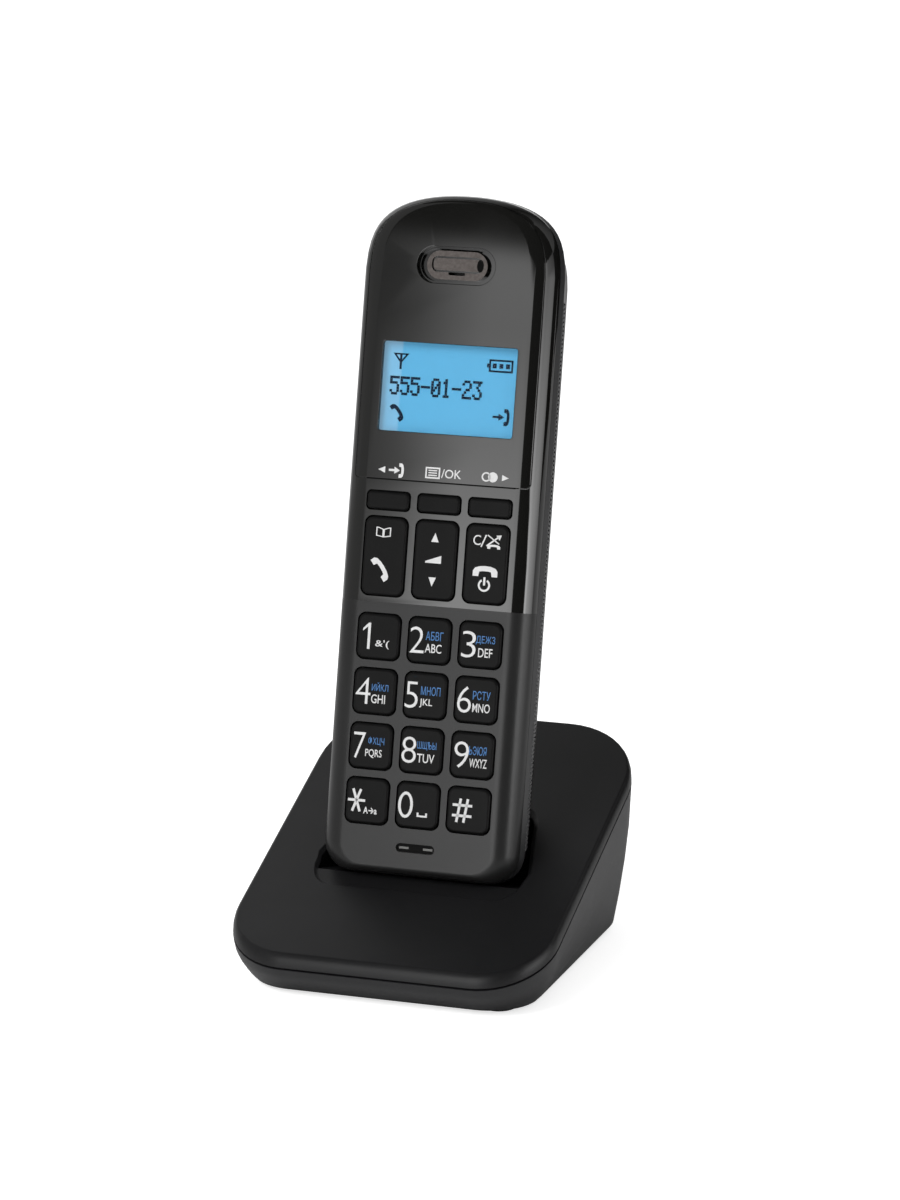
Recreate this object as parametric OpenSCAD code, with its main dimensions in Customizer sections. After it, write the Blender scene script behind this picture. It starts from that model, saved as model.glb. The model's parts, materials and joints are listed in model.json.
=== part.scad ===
/* [Handset body] */
// Greatest width of the handset
handset_w = 48; // [47:0.5:52]
// Length of the handset from foot to crown
handset_l = 157; // [154:1:167]
// Thickness of the handset from face to back
handset_t = 26.2; // [25.4:0.2:30]
// Width of the flat front face between its rounded shoulders
face_w = 36; // [35.5:0.5:38]
// Depth of the seam between the front and rear cases
seam_depth = 5.5; // [5.3:0.1:6]
// Wall thickness of both handset cases
case_wall = 1.8; // [1.5:0.1:2.2]
// Thickness of the front case's web, which the keys come through
web_t = 2.2; // [1.9:0.1:2.4]
// Height of the arched crown above the straight sides
crown_h = 29; // [26:1:32]
// Radius of the foot's corners
foot_corner_r = 7; // [5:0.5:9]
// Radius of the long edges of the back
back_r = 6; // [4:0.5:7]
// How far the crown slopes forward between the seam and the back
back_lean = 9; // [5:1:12]

/* [Display] */
// Width of the display window
window_w = 32.4; // [28:0.4:33]
// Height of the display window
window_h = 20.5; // [16:0.5:23]
// Thickness of the glossy display panel
panel_t = 1.2; // [1:0.1:1.4]
// Border of the panel below the window, which carries the legends
panel_chin = 11.1; // [9:0.5:13]

/* [Keys] */
// Column pitch of the keys
key_pitch_x = 12.3; // [12.3:0.1:12.8]
// Row pitch of the digit keys
key_pitch_y = 12.64; // [12.6:0.02:13]
// Width of every key opening
key_open_w = 10.8; // [10.2:0.1:10.8]
// Height of a digit key's opening
key_open_h = 11; // [10.4:0.1:11]
// Height of a tall key's opening
tall_open_h = 18.6; // [17:0.2:19]
// Height of a soft key's opening
soft_open_h = 4.7; // [4.2:0.1:5]
// Gap between a key and the edge of its opening
key_gap = 0.3; // [0.25:0.05:0.4]
// How far the keys stand out of the face
key_proud = 0.6; // [0.3:0.1:1]
// Height of the bottom row's centre above the foot
key_foot = 16.9; // [16.5:0.1:19]

/* [Battery] */
// Diameter of one cell
cell_d = 10.5; // [10:0.1:10.7]
// Length of one cell's can, without its nub
cell_l = 43.7; // [42:0.1:44.5]
// Thickness of the battery cover
cover_t = 1.35; // [1.2:0.05:1.5]
// Travel of the battery cover as it opens
cover_travel = 6.5; // [5:0.5:6.5]

/* [Base] */
// Width of the base at its seam
base_w = 77.6; // [76:0.4:86]
// Depth of the base from front to rear
base_d = 90; // [88:1:96]
// Height of the sloping top at its front edge
front_h = 11; // [10:0.5:14]
// Slope of the top towards the front
top_slope = 21.35; // [19:0.5:23]
// Wall thickness of both base mouldings
base_wall = 2; // [1.6:0.1:2.4]
// How far the walls taper in from the seam to the underside
base_taper = 4; // [3:0.5:5]
// Radius of the two front corners
front_corner_r = 16.4; // [13:1:20]
// Radius of the two rear corners
rear_corner_r = 20.3; // [16:1:24]
// Height of the rubber feet below the underside
foot_h = 0.8; // [0.5:0.1:1.5]

/* [Cradle] */
// Backward lean of the docked handset
lean = 12.65; // [11:0.5:14]
// Forward place of the handset's foot, from the middle of the base
dock_forward = 17.4; // [15.4:0.5:19.4]
// Height of the handset's foot above the sloping top, at its face
dock_rise = 1.4; // [0.6:0.2:1.8]
// Clearance between the handset and the cradle's walls
cradle_gap = 1.1; // [0.8:0.1:1.6]
// Thickness of the cradle's walls and floor
cradle_wall = 1.6; // [1.4:0.1:2]
// Distance of each charging contact from the middle
contact_x = 12.5; // [11:0.5:14]
// Travel of the charging contacts
contact_travel = 1.2; // [0.8:0.1:1.2]

/* [Hidden] */
$fn = 32;

// Small clearances
seat_gap = 0.15;
seam_gap = 0.2;
base_seam = 0.45;
slip = 0.3;
cut = 1;

// Handset outline
face_half = face_w / 2;
seam_half = handset_w / 2 - 0.5;
wide_half = handset_w / 2;
wide_depth = 7.5;
side_taper = 3.4;
back_half = wide_half - side_taper - back_r;
face_crown = handset_l - 2.2;
face_foot = 2.3;
arch_base = handset_l - crown_h;
arch_steps = 32;
corner_steps = 8;
base_steps = 12;
wall_bulge = 1.7;
wall_shares = [0.2, 0.45, 0.7];
round_steps = 8;
side_power = 2.2;
crown_power = 5;

// Front face layout, measured up from the foot
row_y = [for (row = [0:3]) key_foot + (3 - row) * key_pitch_y];
block_gap = 3.7;
soft_gap = 1.15;
panel_gap = 2.65;
tall_y = row_y[0] + key_open_h / 2 + block_gap + tall_open_h / 2;
soft_y = tall_y + tall_open_h / 2 + soft_gap + soft_open_h / 2;
panel_foot = soft_y + soft_open_h / 2 + panel_gap;
window_y = panel_foot + panel_chin + window_h / 2;
panel_half = 21.2 / 24 * wide_half;
panel_crown = handset_l - 1.2;
panel_corner_r = 1.2;
ear_y = handset_l - 16.2;
ear_w = 18.8;
ear_h = 8.4;
speaker_r = 10;
mic_y = 6.9;
mic_w = 9.3;
mic_h = 1.7;

// Depths inside the handset, measured down from the face
flange_t = 0.7;
flange_over = 0.5;
flange_top = -web_t - 0.1;
key_travel = 0.7;
mat_top = flange_top - flange_t - key_travel - 0.2;
mat_t = 0.6;
dome_h = 0.35;
plunger_end = mat_top - mat_t;
pcb_top = plunger_end - key_travel - dome_h - 0.15;
pcb_t = 1;
plunger_r = 1.9;
rocker_angle = 2.5;
rocker_depth = -web_t - 0.25;
lens_t = 0.6;
ledge_top = -panel_t - 0.05;
lcd_top = ledge_top - lens_t - 0.05;
lcd_t = 1.7;

// Battery bay, measured up from the foot and down from the face
back_w = -handset_t;
recess_w = back_w + cover_t + seat_gap;
cell_gap = 0.4;
cell_w = recess_w + slip + cell_d / 2;
cell_x = (cell_d + cell_gap) / 2;
nub_l = 0.8;
spring_l = 4;
plate_t = 0.4;
bay_foot = 25.5;
bay_l = cell_l + nub_l + spring_l + 2 * plate_t + 2 * slip;
bay_half = cell_d + 2.7;
bay_roof = cell_w + cell_d / 2 + slip;
bay_wall = 1.2;
cover_half = back_half - 0.3;
cover_foot = cover_travel + 0.5;
cover_top = bay_foot + bay_l + 3;
hook_y = [bay_foot + cover_travel + 0.4, bay_foot + bay_l - 12];
hook_l = 6;
hook_reach = 0.7;

// Grip strips
grip_foot = 8;
grip_top = arch_base + 6;
grip_pitch = 1;
grip_tooth = 0.5;
grip_proud = 0.2;
grip_inset = 0.4;
grip_t = 0.6;
grip_w = 11;
grip_angle = atan2(side_taper, handset_t - back_r - wide_depth);

// Base
case_z = foot_h;
floor_z = case_z + base_wall;
edge_inset = 1.3;
edge_drop = 3;
cover_top_t = 2.2;
under_edge = 1.2;
pcb_z = floor_z + 3.2;
base_pcb_t = 1.2;
board_z = pcb_z + base_pcb_t;
base_pcb_half = 23;
jack_face = base_d / 2 - base_taper + 0.2;
pcb_front = -18;
pcb_rear = jack_face - 4.5;
pegs = [for (x = [-1, 1], y = [pcb_front + 4, pcb_rear - 3.7]) [x * (base_pcb_half - 2.2), y]];
post_z = 9;
post = [27.6, 22];
post_r = 4.4;
feet = [for (x = [-1, 1], p = [[base_w / 2 - 12.8, 12 - base_d / 2], [base_w / 2 - 16.8, base_d / 2 - 14]])
    [x * p[0], p[1]]];
foot_r = 4.5;
keyhole_r = 4.25;
keyhole_slot = 4.4;
keyhole_l = 8;
line_jack_x = 10;
power_jack_x = -3;
button_x = -15;
button_y = jack_face + 0.4;
button_z = board_z + 6;
power_jack_l = 13.5;
capacitor_r = 4;
capacitor_y = jack_face - power_jack_l - capacitor_r - 1.5;
antenna_x = 1.6 - base_pcb_half;
antenna_y = pcb_rear - 22.7;
antenna_l = 16;
button_travel = 0.8;
dock_y = -dock_forward;
floor_v = -seat_gap;
contact_w = -16;
carrier_top = floor_v - cradle_wall - 0.25 - 0.7 - contact_travel - 0.3;

// ---------------------------------------------------------------- shared geometry

// Height of the sloping top above a place y on the base
function top_z(y) = front_h + (y + base_d / 2 - edge_inset) * tan(top_slope);

// Place of the sloping top in the handset's own frame, at depth w
function top_v(w) = -(dock_rise + w * (sin(lean) + cos(lean) * tan(top_slope)))
    / (cos(lean) - sin(lean) * tan(top_slope));

// Solid through a stack of rings that all have the same number of points, listed from low to high
module ring_stack(rings) {
    n = len(rings[0]);
    last = len(rings) - 1;
    walls = [for (i = [0:last - 1], j = [0:n - 1])
        let (a = i * n + j, b = i * n + (j + 1) % n)
        each [[a, a + n, b + n], [a, b + n, b]]];
    floor_face = [for (j = [0:n - 1]) j];
    roof_face = [for (j = [n - 1:-1:0]) last * n + j];
    polyhedron([for (ring = rings) each ring], concat(walls, [floor_face, roof_face]));
}

// Flat rounded rectangle, centred, with exact round corners
module rounded(w, h, r) {
    square([w - 2 * r, h], center = true);
    square([w, h - 2 * r], center = true);
    for (x = [-1, 1], y = [-1, 1]) translate([x * (w / 2 - r), y * (h / 2 - r)]) circle(r);
}

// Outline of the handset at depth w: an arched crown, straight sides and round foot corners
function handset_ring(half, crown, foot, r, w) = concat(
    [for (k = [0:arch_steps]) let (t = 180 * k / arch_steps)
        [half * sign(cos(t)) * pow(abs(cos(t)), 2 / side_power),
         arch_base + (crown - arch_base) * pow(sin(t), 2 / crown_power), w]],
    [for (k = [0:corner_steps]) let (t = 180 + 90 * k / corner_steps)
        [-half + r + r * cos(t), foot + r + r * sin(t), w]],
    [for (k = [0:corner_steps]) let (t = 270 + 90 * k / corner_steps)
        [half - r + r * cos(t), foot + r + r * sin(t), w]]);

// One ring of the front case's shoulder, t = 0 at the face and 90 at the seam, moved in by a wall
function front_ring(t, wall, top) = handset_ring(
    face_half - wall / 2 + (seam_half - face_half - wall / 2) * sin(t),
    face_crown - wall + (handset_l - face_crown) * sin(t),
    face_foot * (1 - sin(t)) + wall,
    foot_corner_r - 2 + 2 * sin(t) - wall / 2,
    top - (seam_depth + top) * (1 - cos(t)));

// Share of the way from the widest depth to the back
function back_share(w) = max(0, (-w - wide_depth) / (handset_t - wide_depth));

// One ring of the rear case at depth w, moved in by a wall
function rear_ring(half, w, wall) = handset_ring(
    half - wall,
    handset_l - back_lean * pow(back_share(w), 2) - wall,
    3 * pow(back_share(w), 3) + wall,
    foot_corner_r - wall / 2,
    w);

// Half widths and depths of the rear case, from the widest place to the back, with a wall taken off
function rear_profile(wall) = concat(
    [[wide_half, -wide_depth]],
    [for (k = [0:round_steps]) let (t = 90 * k / round_steps)
        [back_half + wall + (back_r - wall) * cos(t), -(handset_t - back_r) - (back_r - wall) * sin(t)]]);

// Cross-section of the handset, grown by a clearance, as a polygon of half widths and depths
function section_half(grow) = concat(
    [for (k = [0:round_steps]) let (t = 90 * k / round_steps)
        [face_half + grow + (seam_half - face_half) * sin(t),
         grow * cos(t) - seam_depth * (1 - cos(t))]],
    [[wide_half + grow, -wide_depth]],
    [for (k = [0:round_steps]) let (t = 90 * k / round_steps)
        [back_half + (back_r + grow) * cos(t), -(handset_t - back_r) - (back_r + grow) * sin(t)]]);
function section(grow) = let (half = section_half(grow), n = len(half))
    concat(half, [for (k = [n - 1:-1:0]) [-half[k][0], half[k][1]]]);

// Places a part that is drawn in the handset's frame: x across, y up from the foot, z out of the face
module on_handset() {
    translate([0, dock_y, top_z(dock_y) + dock_rise]) rotate([90 - lean, 0, 0]) children();
}

// Prism of the handset's cross-section between two heights above the foot
module section_prism(grow, low, high) {
    translate([0, high, 0]) rotate([90, 0, 0]) linear_extrude(high - low) polygon(section(grow));
}

// Upright plate or block in the handset's frame: a centred outline from depth low to depth high
module slab(w, h, r, y, low, high) {
    translate([0, y, low]) linear_extrude(high - low) rounded(w, h, r);
}

// Outline of the base, moved in by an inset; height comes from the sloping top or is level
function base_outline(inset) = let (
    hx = base_w / 2 - inset,
    hy = base_d / 2 - inset,
    rf = front_corner_r - inset,
    rr = rear_corner_r - inset)
    [for (c = [[1, 1, rr, 0], [-1, 1, rr, 90], [-1, -1, rf, 180], [1, -1, rf, 270]],
          k = [0:base_steps])
        let (t = c[3] + 90 * k / base_steps)
        [c[0] * (hx - c[2]) + c[2] * cos(t), c[1] * (hy - c[2]) + c[2] * sin(t)]];
function sloped_ring(inset, drop) = [for (p = base_outline(inset)) [p[0], p[1], top_z(p[1]) - drop]];
function level_ring(inset, z) = [for (p = base_outline(inset)) [p[0], p[1], z]];

// Ring of the lower case at a share of its height, from the underside's edge to the seam; the wall bulges
function wall_ring(share, wall) = let (inset = base_taper * pow(1 - share, wall_bulge) + wall)
    [for (p = base_outline(inset))
        [p[0], p[1], (1 - share) * (case_z + under_edge) + share * (top_z(p[1]) - edge_drop - base_seam)]];

// Everything under the sloping top, down to the floor of the base
module below_top(inset, drop) {
    ring_stack([level_ring(base_taper + inset, floor_z - 0.5), sloped_ring(inset, drop)]);
}

// ---------------------------------------------------------------- base

cover_rings = [for (k = [0:4]) let (t = 90 * k / 4)
    sloped_ring(edge_inset * (1 - cos(t)), edge_drop * (1 - sin(t)))];

module screw_posts(r, low, high) {
    for (x = [-1, 1], y = [-1, 1]) translate([x * post[0], y * post[1], low]) cylinder(r = r, h = high - low);
}

// Cradle: the well that the handset's foot stands in, open through the sloping top
module cradle_well() {
    intersection() {
        below_top(base_wall, 0.6);
        on_handset() section_prism(cradle_gap + cradle_wall, floor_v - cradle_wall, 40);
    }
}
module cradle_cut() {
    on_handset() section_prism(cradle_gap, floor_v, 40);
}

// Softened rim where the cradle breaks through the sloping top
module cradle_rim() {
    rim = 0.9;
    outer = section(cradle_gap + rim);
    inner = section(cradle_gap);
    on_handset() ring_stack([
        [for (p = inner) [p[0], top_v(p[1]) - rim, p[1]]],
        [for (p = outer) [p[0], top_v(p[1]) + 0.02, p[1]]],
        [for (p = outer) [p[0], top_v(p[1]) + cut, p[1]]]]);
}

module base_top_cover() {
    color("#1b1b1d") difference() {
        union() {
            difference() {
                ring_stack(cover_rings);
                ring_stack([
                    sloped_ring(base_wall, edge_drop + cut),
                    sloped_ring(base_wall, edge_drop),
                    sloped_ring(base_wall + edge_inset, cover_top_t)]);
            }
            cradle_well();
            intersection() {
                below_top(base_wall, 0.6);
                screw_posts(3.2, post_z, 60);
            }
        }
        cradle_cut();
        cradle_rim();
        screw_posts(1.35, post_z - cut, post_z + 6.5);
        for (x = [-1, 1]) on_handset()
            translate([x * contact_x, floor_v, contact_w])
            cube([3.6, 20, 1.8], center = true);
    }
}

// Keyhole for a wall screw: round entry and a narrow slot with a round end
module keyhole(y) {
    translate([0, y, case_z - cut]) {
        cylinder(r = keyhole_r, h = base_wall + 2 * cut);
        linear_extrude(base_wall + 2 * cut) polygon(concat(
            [[-keyhole_slot / 2, 0], [keyhole_slot / 2, 0]],
            [for (t = [0:22.5:180]) [keyhole_slot / 2 * cos(t), keyhole_l + keyhole_slot / 2 * sin(t)]]));
    }
}

module base_bottom_case() {
    color("#2c2c2e") difference() {
        union() {
            difference() {
                ring_stack(concat(
                    [level_ring(base_taper + under_edge, case_z), wall_ring(0, 0)],
                    [for (share = wall_shares) wall_ring(share, 0)],
                    [wall_ring(1, 0)]));
                ring_stack(concat(
                    [level_ring(base_taper + base_wall, floor_z)],
                    [for (share = wall_shares) wall_ring(share, base_wall)],
                    [sloped_ring(base_wall, edge_drop + base_seam - cut / 2)]));
            }
            intersection() {
                union() {
                    screw_posts(post_r, case_z + 0.2, post_z - seat_gap);
                    for (p = pegs) translate([p[0], p[1], floor_z - 0.5]) cylinder(r = 2.4, h = pcb_z - floor_z + 0.5);
                }
                below_top(0.5, edge_drop);
            }
            for (p = pegs) translate([p[0], p[1], floor_z]) cylinder(r = 1.1, h = board_z + 1 - floor_z);
        }
        screw_posts(1.6, case_z - cut, post_z + cut);
        screw_posts(3, case_z - cut, floor_z + 1.2);
        for (p = feet) translate([p[0], p[1], case_z - cut]) cylinder(r = foot_r + 0.1, h = 1 + cut);
        keyhole(-26);
        keyhole(18);
        for (k = [-3:3]) translate([k * 4 - 0.7, -8, case_z - cut]) cube([1.4, 14, base_wall + 2 * cut]);
        translate([line_jack_x - 7, jack_face - 5, board_z - 0.1]) cube([14, 20, 12.2]);
        translate([power_jack_x - 4.8, jack_face - 5, board_z - 0.1]) cube([9.6, 20, 11.4]);
        translate([button_x, button_y - 6, button_z]) rotate([-90, 0, 0]) cylinder(r = 3.5 + slip, h = 20);
    }
}

module base_pcb() {
    color("#1f5a34") difference() {
        translate([-base_pcb_half, pcb_front, pcb_z]) cube([2 * base_pcb_half, pcb_rear - pcb_front, base_pcb_t]);
        for (p = pegs) translate([p[0], p[1], pcb_z - cut]) cylinder(r = 1.2, h = base_pcb_t + 2 * cut);
    }
}

module base_rf_shield() {
    color("#b9bcc0") translate([-16, -13, board_z]) difference() {
        cube([24, 19, 2.6]);
        for (x = [3:4.5:21], y = [4, 9.5, 15]) translate([x, y, 2]) cylinder(r = 0.8, h = cut);
    }
}

module base_capacitors() {
    color("#20242c") for (p = [[-10, -2], [0, 0]]) translate([p[0], capacitor_y + p[1], board_z]) {
        cylinder(r = capacitor_r, h = 0.8);
        cylinder(r = capacitor_r - 0.3, h = 11);
        translate([0, 0, 1.6]) cylinder(r = capacitor_r, h = 9.4);
    }
}

// Bent strip on two legs, standing along the board's edge
module base_antenna() {
    color("#c9b36a") translate([antenna_x, antenna_y, board_z]) {
        cube([0.5, 2, 10]);
        translate([0, antenna_l - 2, 0]) cube([0.5, 2, 10]);
        translate([0, 0, 9]) cube([0.5, antenna_l, 4]);
        translate([0, 0, 12.5]) cube([5, antenna_l, 0.5]);
    }
}

// Bridge under the cradle's floor that guides the two contacts
module contact_carrier() {
    reach = contact_x + 6;
    under = floor_v - cradle_wall - 0.1;
    color("#d8d8d4") on_handset() difference() {
        union() {
            translate([-reach, carrier_top - 2.4, contact_w - 3.5]) cube([2 * reach, 2.4, 7]);
            for (x = [-reach, -1.2, reach - 2.4])
                translate([x, carrier_top - 2.4, contact_w - 3.5]) cube([2.4, under - carrier_top + 2.4, 7]);
        }
        for (x = [-1, 1]) translate([x * contact_x, carrier_top, contact_w]) cube([3.6, 20, 1.8], center = true);
    }
}

// Sprung contact blade with a round nose, a stop flange and a guided stem
module charge_contact(side) {
    nose = 0.6;
    top = -0.05;
    under = floor_v - cradle_wall - 0.25;
    color("#d4c07a") on_handset() translate([side * contact_x, 0, contact_w]) {
        translate([-1.5, top - nose, 0]) rotate([0, 90, 0]) cylinder(r = nose, h = 3);
        translate([-1.5, carrier_top - 2, -nose]) cube([3, top - nose - carrier_top + 2, 2 * nose]);
        translate([-2.6, under - 0.7, -1.6]) cube([5.2, 0.7, 3.2]);
    }
}
module charge_contact_left() { charge_contact(-1); }
module charge_contact_right() { charge_contact(1); }

// Modular line socket with its latch slot
module line_jack() {
    color("#101012") translate([line_jack_x, jack_face, board_z]) difference() {
        translate([-6.7, -15, 0]) cube([13.4, 15, 11.8]);
        translate([-4.9, -12.5, 2.6]) cube([9.8, 12.5 + cut, 6.8]);
        translate([-2, -8, 1]) cube([4, 8 + cut, 3]);
    }
}
module line_jack_contacts() {
    color("#d9bd5a") for (k = [-1.5:1.5]) translate([line_jack_x + k * 1.02, jack_face, board_z]) {
        translate([-0.2, -11.8, 7]) rotate([12, 0, 0]) cube([0.4, 8, 0.4]);
        translate([-0.2, -12.4, 7]) cube([0.4, 0.9, 0.4]);
        translate([-0.2, -4.4, 8.6]) cube([0.4, 0.4, 0.7]);
    }
}

module power_jack() {
    color("#101012") translate([power_jack_x, jack_face, board_z]) difference() {
        translate([-4.5, -power_jack_l, 0]) cube([9, power_jack_l, 11]);
        translate([0, cut, 6.2]) rotate([90, 0, 0]) cylinder(r = 2.85, h = 9 + cut);
    }
}
module power_jack_pin() {
    color("#c8c8cc") translate([power_jack_x, jack_face - 9, board_z + 6.2]) rotate([-90, 0, 0]) {
        cylinder(r = 1, h = 8);
    }
}

module locator_button() {
    color("#3a3a3d") translate([button_x, button_y, button_z]) rotate([-90, 0, 0]) {
        translate([0, 0, -1.8]) cylinder(r = 3.5, h = 3.4);
        translate([0, 0, -2.7]) cylinder(r = 4.6, h = 1);
        translate([0, 0, -4.2]) cylinder(r = 1.5, h = 1.6);
    }
}
module locator_switch() {
    color("#8d9096") translate([button_x, button_y - 4.2 - button_travel - 0.1, board_z]) {
        translate([-3, -4, 0]) cube([6, 4, button_z - board_z + 3]);
    }
}

module base_feet() {
    color("#151515") for (p = feet) translate([p[0], p[1], 0]) {
        cylinder(r = foot_r - 0.4, h = 0.4);
        translate([0, 0, 0.3]) cylinder(r = foot_r, h = case_z + 1 - 0.3);
    }
}

module base_screws() {
    color("#9a9ca0") for (x = [-1, 1], y = [-1, 1]) translate([x * post[0], y * post[1], floor_z + 1.2]) difference() {
        union() {
            translate([0, 0, -1.7]) cylinder(r = 2.7, h = 1.7);
            cylinder(r = 1.3, h = post_z + 5.5 - floor_z - 1.2);
        }
        for (a = [0, 90]) translate([0, 0, -1.7]) rotate([0, 0, a]) cube([3, 0.7, 1.6], center = true);
    }
}

// ---------------------------------------------------------------- handset, front

lcd_w = window_w + 3.6;
lcd_h = window_h + 4.5;
board_half = seam_half - case_wall - 2;
board_foot = 4.6;
board_crown = ear_y - 11;
boss_end = -seam_depth - 2;
screw_seat = -12;
screw_top_y = (soft_y + soft_open_h / 2 + flange_over + window_y - lcd_h / 2) / 2;
screws_at = [for (x = [-1, 1], p = [[7.5, 5.6], [12, screw_top_y]]) [x * p[0], p[1]]];

module front_outer() {
    ring_stack([for (k = [round_steps:-1:0]) front_ring(90 * k / round_steps, 0, 0)]);
}
module panel_outline(grow) {
    polygon([for (p = handset_ring(panel_half + grow, panel_crown + grow, panel_foot - grow,
        panel_corner_r, 0)) [p[0], p[1]]]);
}

// Every key opening as width, height, corner radius, x and y
openings = concat(
    [for (x = [-1:1], y = row_y) [key_open_w, key_open_h, 2, x * key_pitch_x, y]],
    [for (x = [-1:1]) [key_open_w, tall_open_h, 2, x * key_pitch_x, tall_y]],
    [for (x = [-1:1]) [key_open_w, soft_open_h, 1.2, x * key_pitch_x, soft_y]]);

module front_case() {
    color("#4a4b4d") on_handset() difference() {
        union() {
            difference() {
                front_outer();
                ring_stack(concat([front_ring(90, case_wall, -web_t - cut)],
                    [for (k = [round_steps:-1:0]) front_ring(90 * k / round_steps, case_wall, -web_t)]));
            }
            for (p = screws_at) translate([p[0], p[1], boss_end]) cylinder(r = 2.4, h = -boss_end - 2);
        }
        for (o = openings) translate([o[3], 0, 0]) slab(o[0], o[1], o[2], o[4], -web_t - cut, cut);
        translate([0, 0, ledge_top]) linear_extrude(panel_t + cut) panel_outline(seat_gap);
        slab(lcd_w + 0.4, lcd_h + 0.4, 1, window_y, -web_t - cut, cut);
        slab(ear_w - 1, ear_h - 1, ear_h / 2 - 0.51, ear_y, -web_t - cut, cut);
        slab(mic_w, mic_h + 0.4, mic_h / 2 + 0.19, mic_y, -0.7, cut);
        slab(3.2, 0.9, 0.44, mic_y, -web_t - 2, 0);
        for (p = screws_at) translate([p[0], p[1], boss_end - cut]) cylinder(r = 1.05, h = 5 + cut);
    }
}

module display_panel() {
    color("#232425") on_handset() difference() {
        intersection() {
            front_outer();
            translate([0, 0, -panel_t]) linear_extrude(panel_t + cut) panel_outline(0);
        }
        slab(window_w, window_h, 0.6, window_y, -panel_t - cut, cut);
        slab(ear_w, ear_h, ear_h / 2 - 0.01, ear_y, -panel_t - cut, cut);
    }
}

module display_lens() {
    color("#cfe6ee", 0.4) on_handset() slab(lcd_w, lcd_h, 0.8, window_y, ledge_top - lens_t, ledge_top);
}
module lcd_module() {
    color("#64b3dc") on_handset() slab(lcd_w, lcd_h, 0.5, window_y, lcd_top - lcd_t, lcd_top);
}
module lcd_backlight() {
    color("#e9edf0") on_handset() difference() {
        slab(lcd_w + 2, lcd_h + 2, 1, window_y, pcb_top + 0.1, lcd_top - lcd_t - 0.1);
        slab(lcd_w - 6, lcd_h - 6, 1, window_y, pcb_top, pcb_top + 0.6);
    }
}

// Raised oval with a bar let into it and a sound notch below the bar
module earpiece_insert() {
    bar_w = 11.4;
    bar_h = 2.8;
    color("#3c3a38") on_handset() difference() {
        union() {
            slab(ear_w + 1, ear_h + 1, ear_h / 2 + 0.45, ear_y, -web_t - 0.9, -web_t - 0.1);
            slab(ear_w - 4.2, ear_h - 1.8, ear_h / 2 - 0.95, ear_y, -web_t - 0.9, -0.8);
        }
        difference() {
            slab(bar_w + 0.8, bar_h + 0.8, 1.4, ear_y + 0.2, -1.4, 0);
            slab(bar_w, bar_h, 1, ear_y + 0.2, -1.5, 0);
        }
        slab(4, 0.7, 0.3, ear_y - bar_h / 2 - 0.5, -web_t - cut, 0);
    }
}
module earpiece_speaker() {
    basket_r = speaker_r - 0.4;
    color("#2a2a2a") on_handset() translate([0, ear_y, -web_t - 5.2]) {
        cylinder(r = basket_r, h = 3.2);
        cylinder(r = speaker_r, h = 1.2);
        translate([0, 0, 3]) difference() {
            cylinder(r = basket_r, h = 1.1);
            translate([0, 0, 0.2]) cylinder(r = basket_r - 1.2, h = cut);
        }
    }
}

// Rounded rectangle ring for a key cap
function cap_ring(w, h, r, z) = [for (c = [[1, 1, 0], [-1, 1, 90], [-1, -1, 180], [1, -1, 270]], k = [0:4])
    let (t = c[2] + 90 * k / 4)
    [c[0] * (w / 2 - r) + r * cos(t), c[1] * (h / 2 - r) + r * sin(t), z]];

// Key cap with a rounded edge, centred in its opening, from depth low up to its crown
module key_cap(w, h, r, low) {
    ring_stack([
        cap_ring(w, h, r, low),
        cap_ring(w, h, r, key_proud - 0.6),
        cap_ring(w - 0.3, h - 0.3, r - 0.1, key_proud - 0.22),
        cap_ring(w - 0.9, h - 0.9, r - 0.3, key_proud)]);
}

// Sprung key with a stop flange under the web and a plunger over its dome
module push_key(x, y, h, r) {
    color("#161616") translate([x, y, 0]) {
        key_cap(key_open_w - 2 * key_gap, h - 2 * key_gap, r - 0.2, flange_top - 0.2);
        slab(key_open_w + 2 * flange_over, h + 2 * flange_over, r, 0, flange_top - flange_t, flange_top);
        translate([0, 0, plunger_end]) cylinder(r = plunger_r, h = flange_top - flange_t - plunger_end + 0.1);
    }
}
module digit_key(column, row) {
    on_handset() push_key(column * key_pitch_x, row_y[row], key_open_h, 2);
}
module soft_key(column) {
    on_handset() push_key(column * key_pitch_x, soft_y, soft_open_h, 1.2);
}

// Rocker key: its flange swings about a rib that rests on the mat, with a plunger at each end
module rocker_key(column) {
    top = -web_t - 0.5;
    thick = 0.5;
    reach = tall_open_h / 2 - 3.3;
    color("#161616") on_handset() translate([column * key_pitch_x, tall_y, 0]) {
        key_cap(key_open_w - 2 * key_gap, tall_open_h - 2 * key_gap, 1.8, top - 0.2);
        slab(key_open_w + 2 * flange_over, tall_open_h + 2 * flange_over - 0.6, 2, 0, top - thick, top);
        translate([-3, -0.5, mat_top + 0.1]) cube([6, 1, top - thick - mat_top]);
        for (y = [-reach, reach]) translate([0, y, plunger_end - 0.4])
            cylinder(r = plunger_r, h = top - thick - plunger_end + 0.5);
    }
}

module key_1() { digit_key(-1, 0); }
module key_2() { digit_key(0, 0); }
module key_3() { digit_key(1, 0); }
module key_4() { digit_key(-1, 1); }
module key_5() { digit_key(0, 1); }
module key_6() { digit_key(1, 1); }
module key_7() { digit_key(-1, 2); }
module key_8() { digit_key(0, 2); }
module key_9() { digit_key(1, 2); }
module key_star() { digit_key(-1, 3); }
module key_0() { digit_key(0, 3); }
module key_hash() { digit_key(1, 3); }
module soft_key_left() { soft_key(-1); }
module soft_key_middle() { soft_key(0); }
module soft_key_right() { soft_key(1); }
module talk_key() { rocker_key(-1); }
module navigator_key() { rocker_key(0); }
module power_key() { rocker_key(1); }

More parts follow.
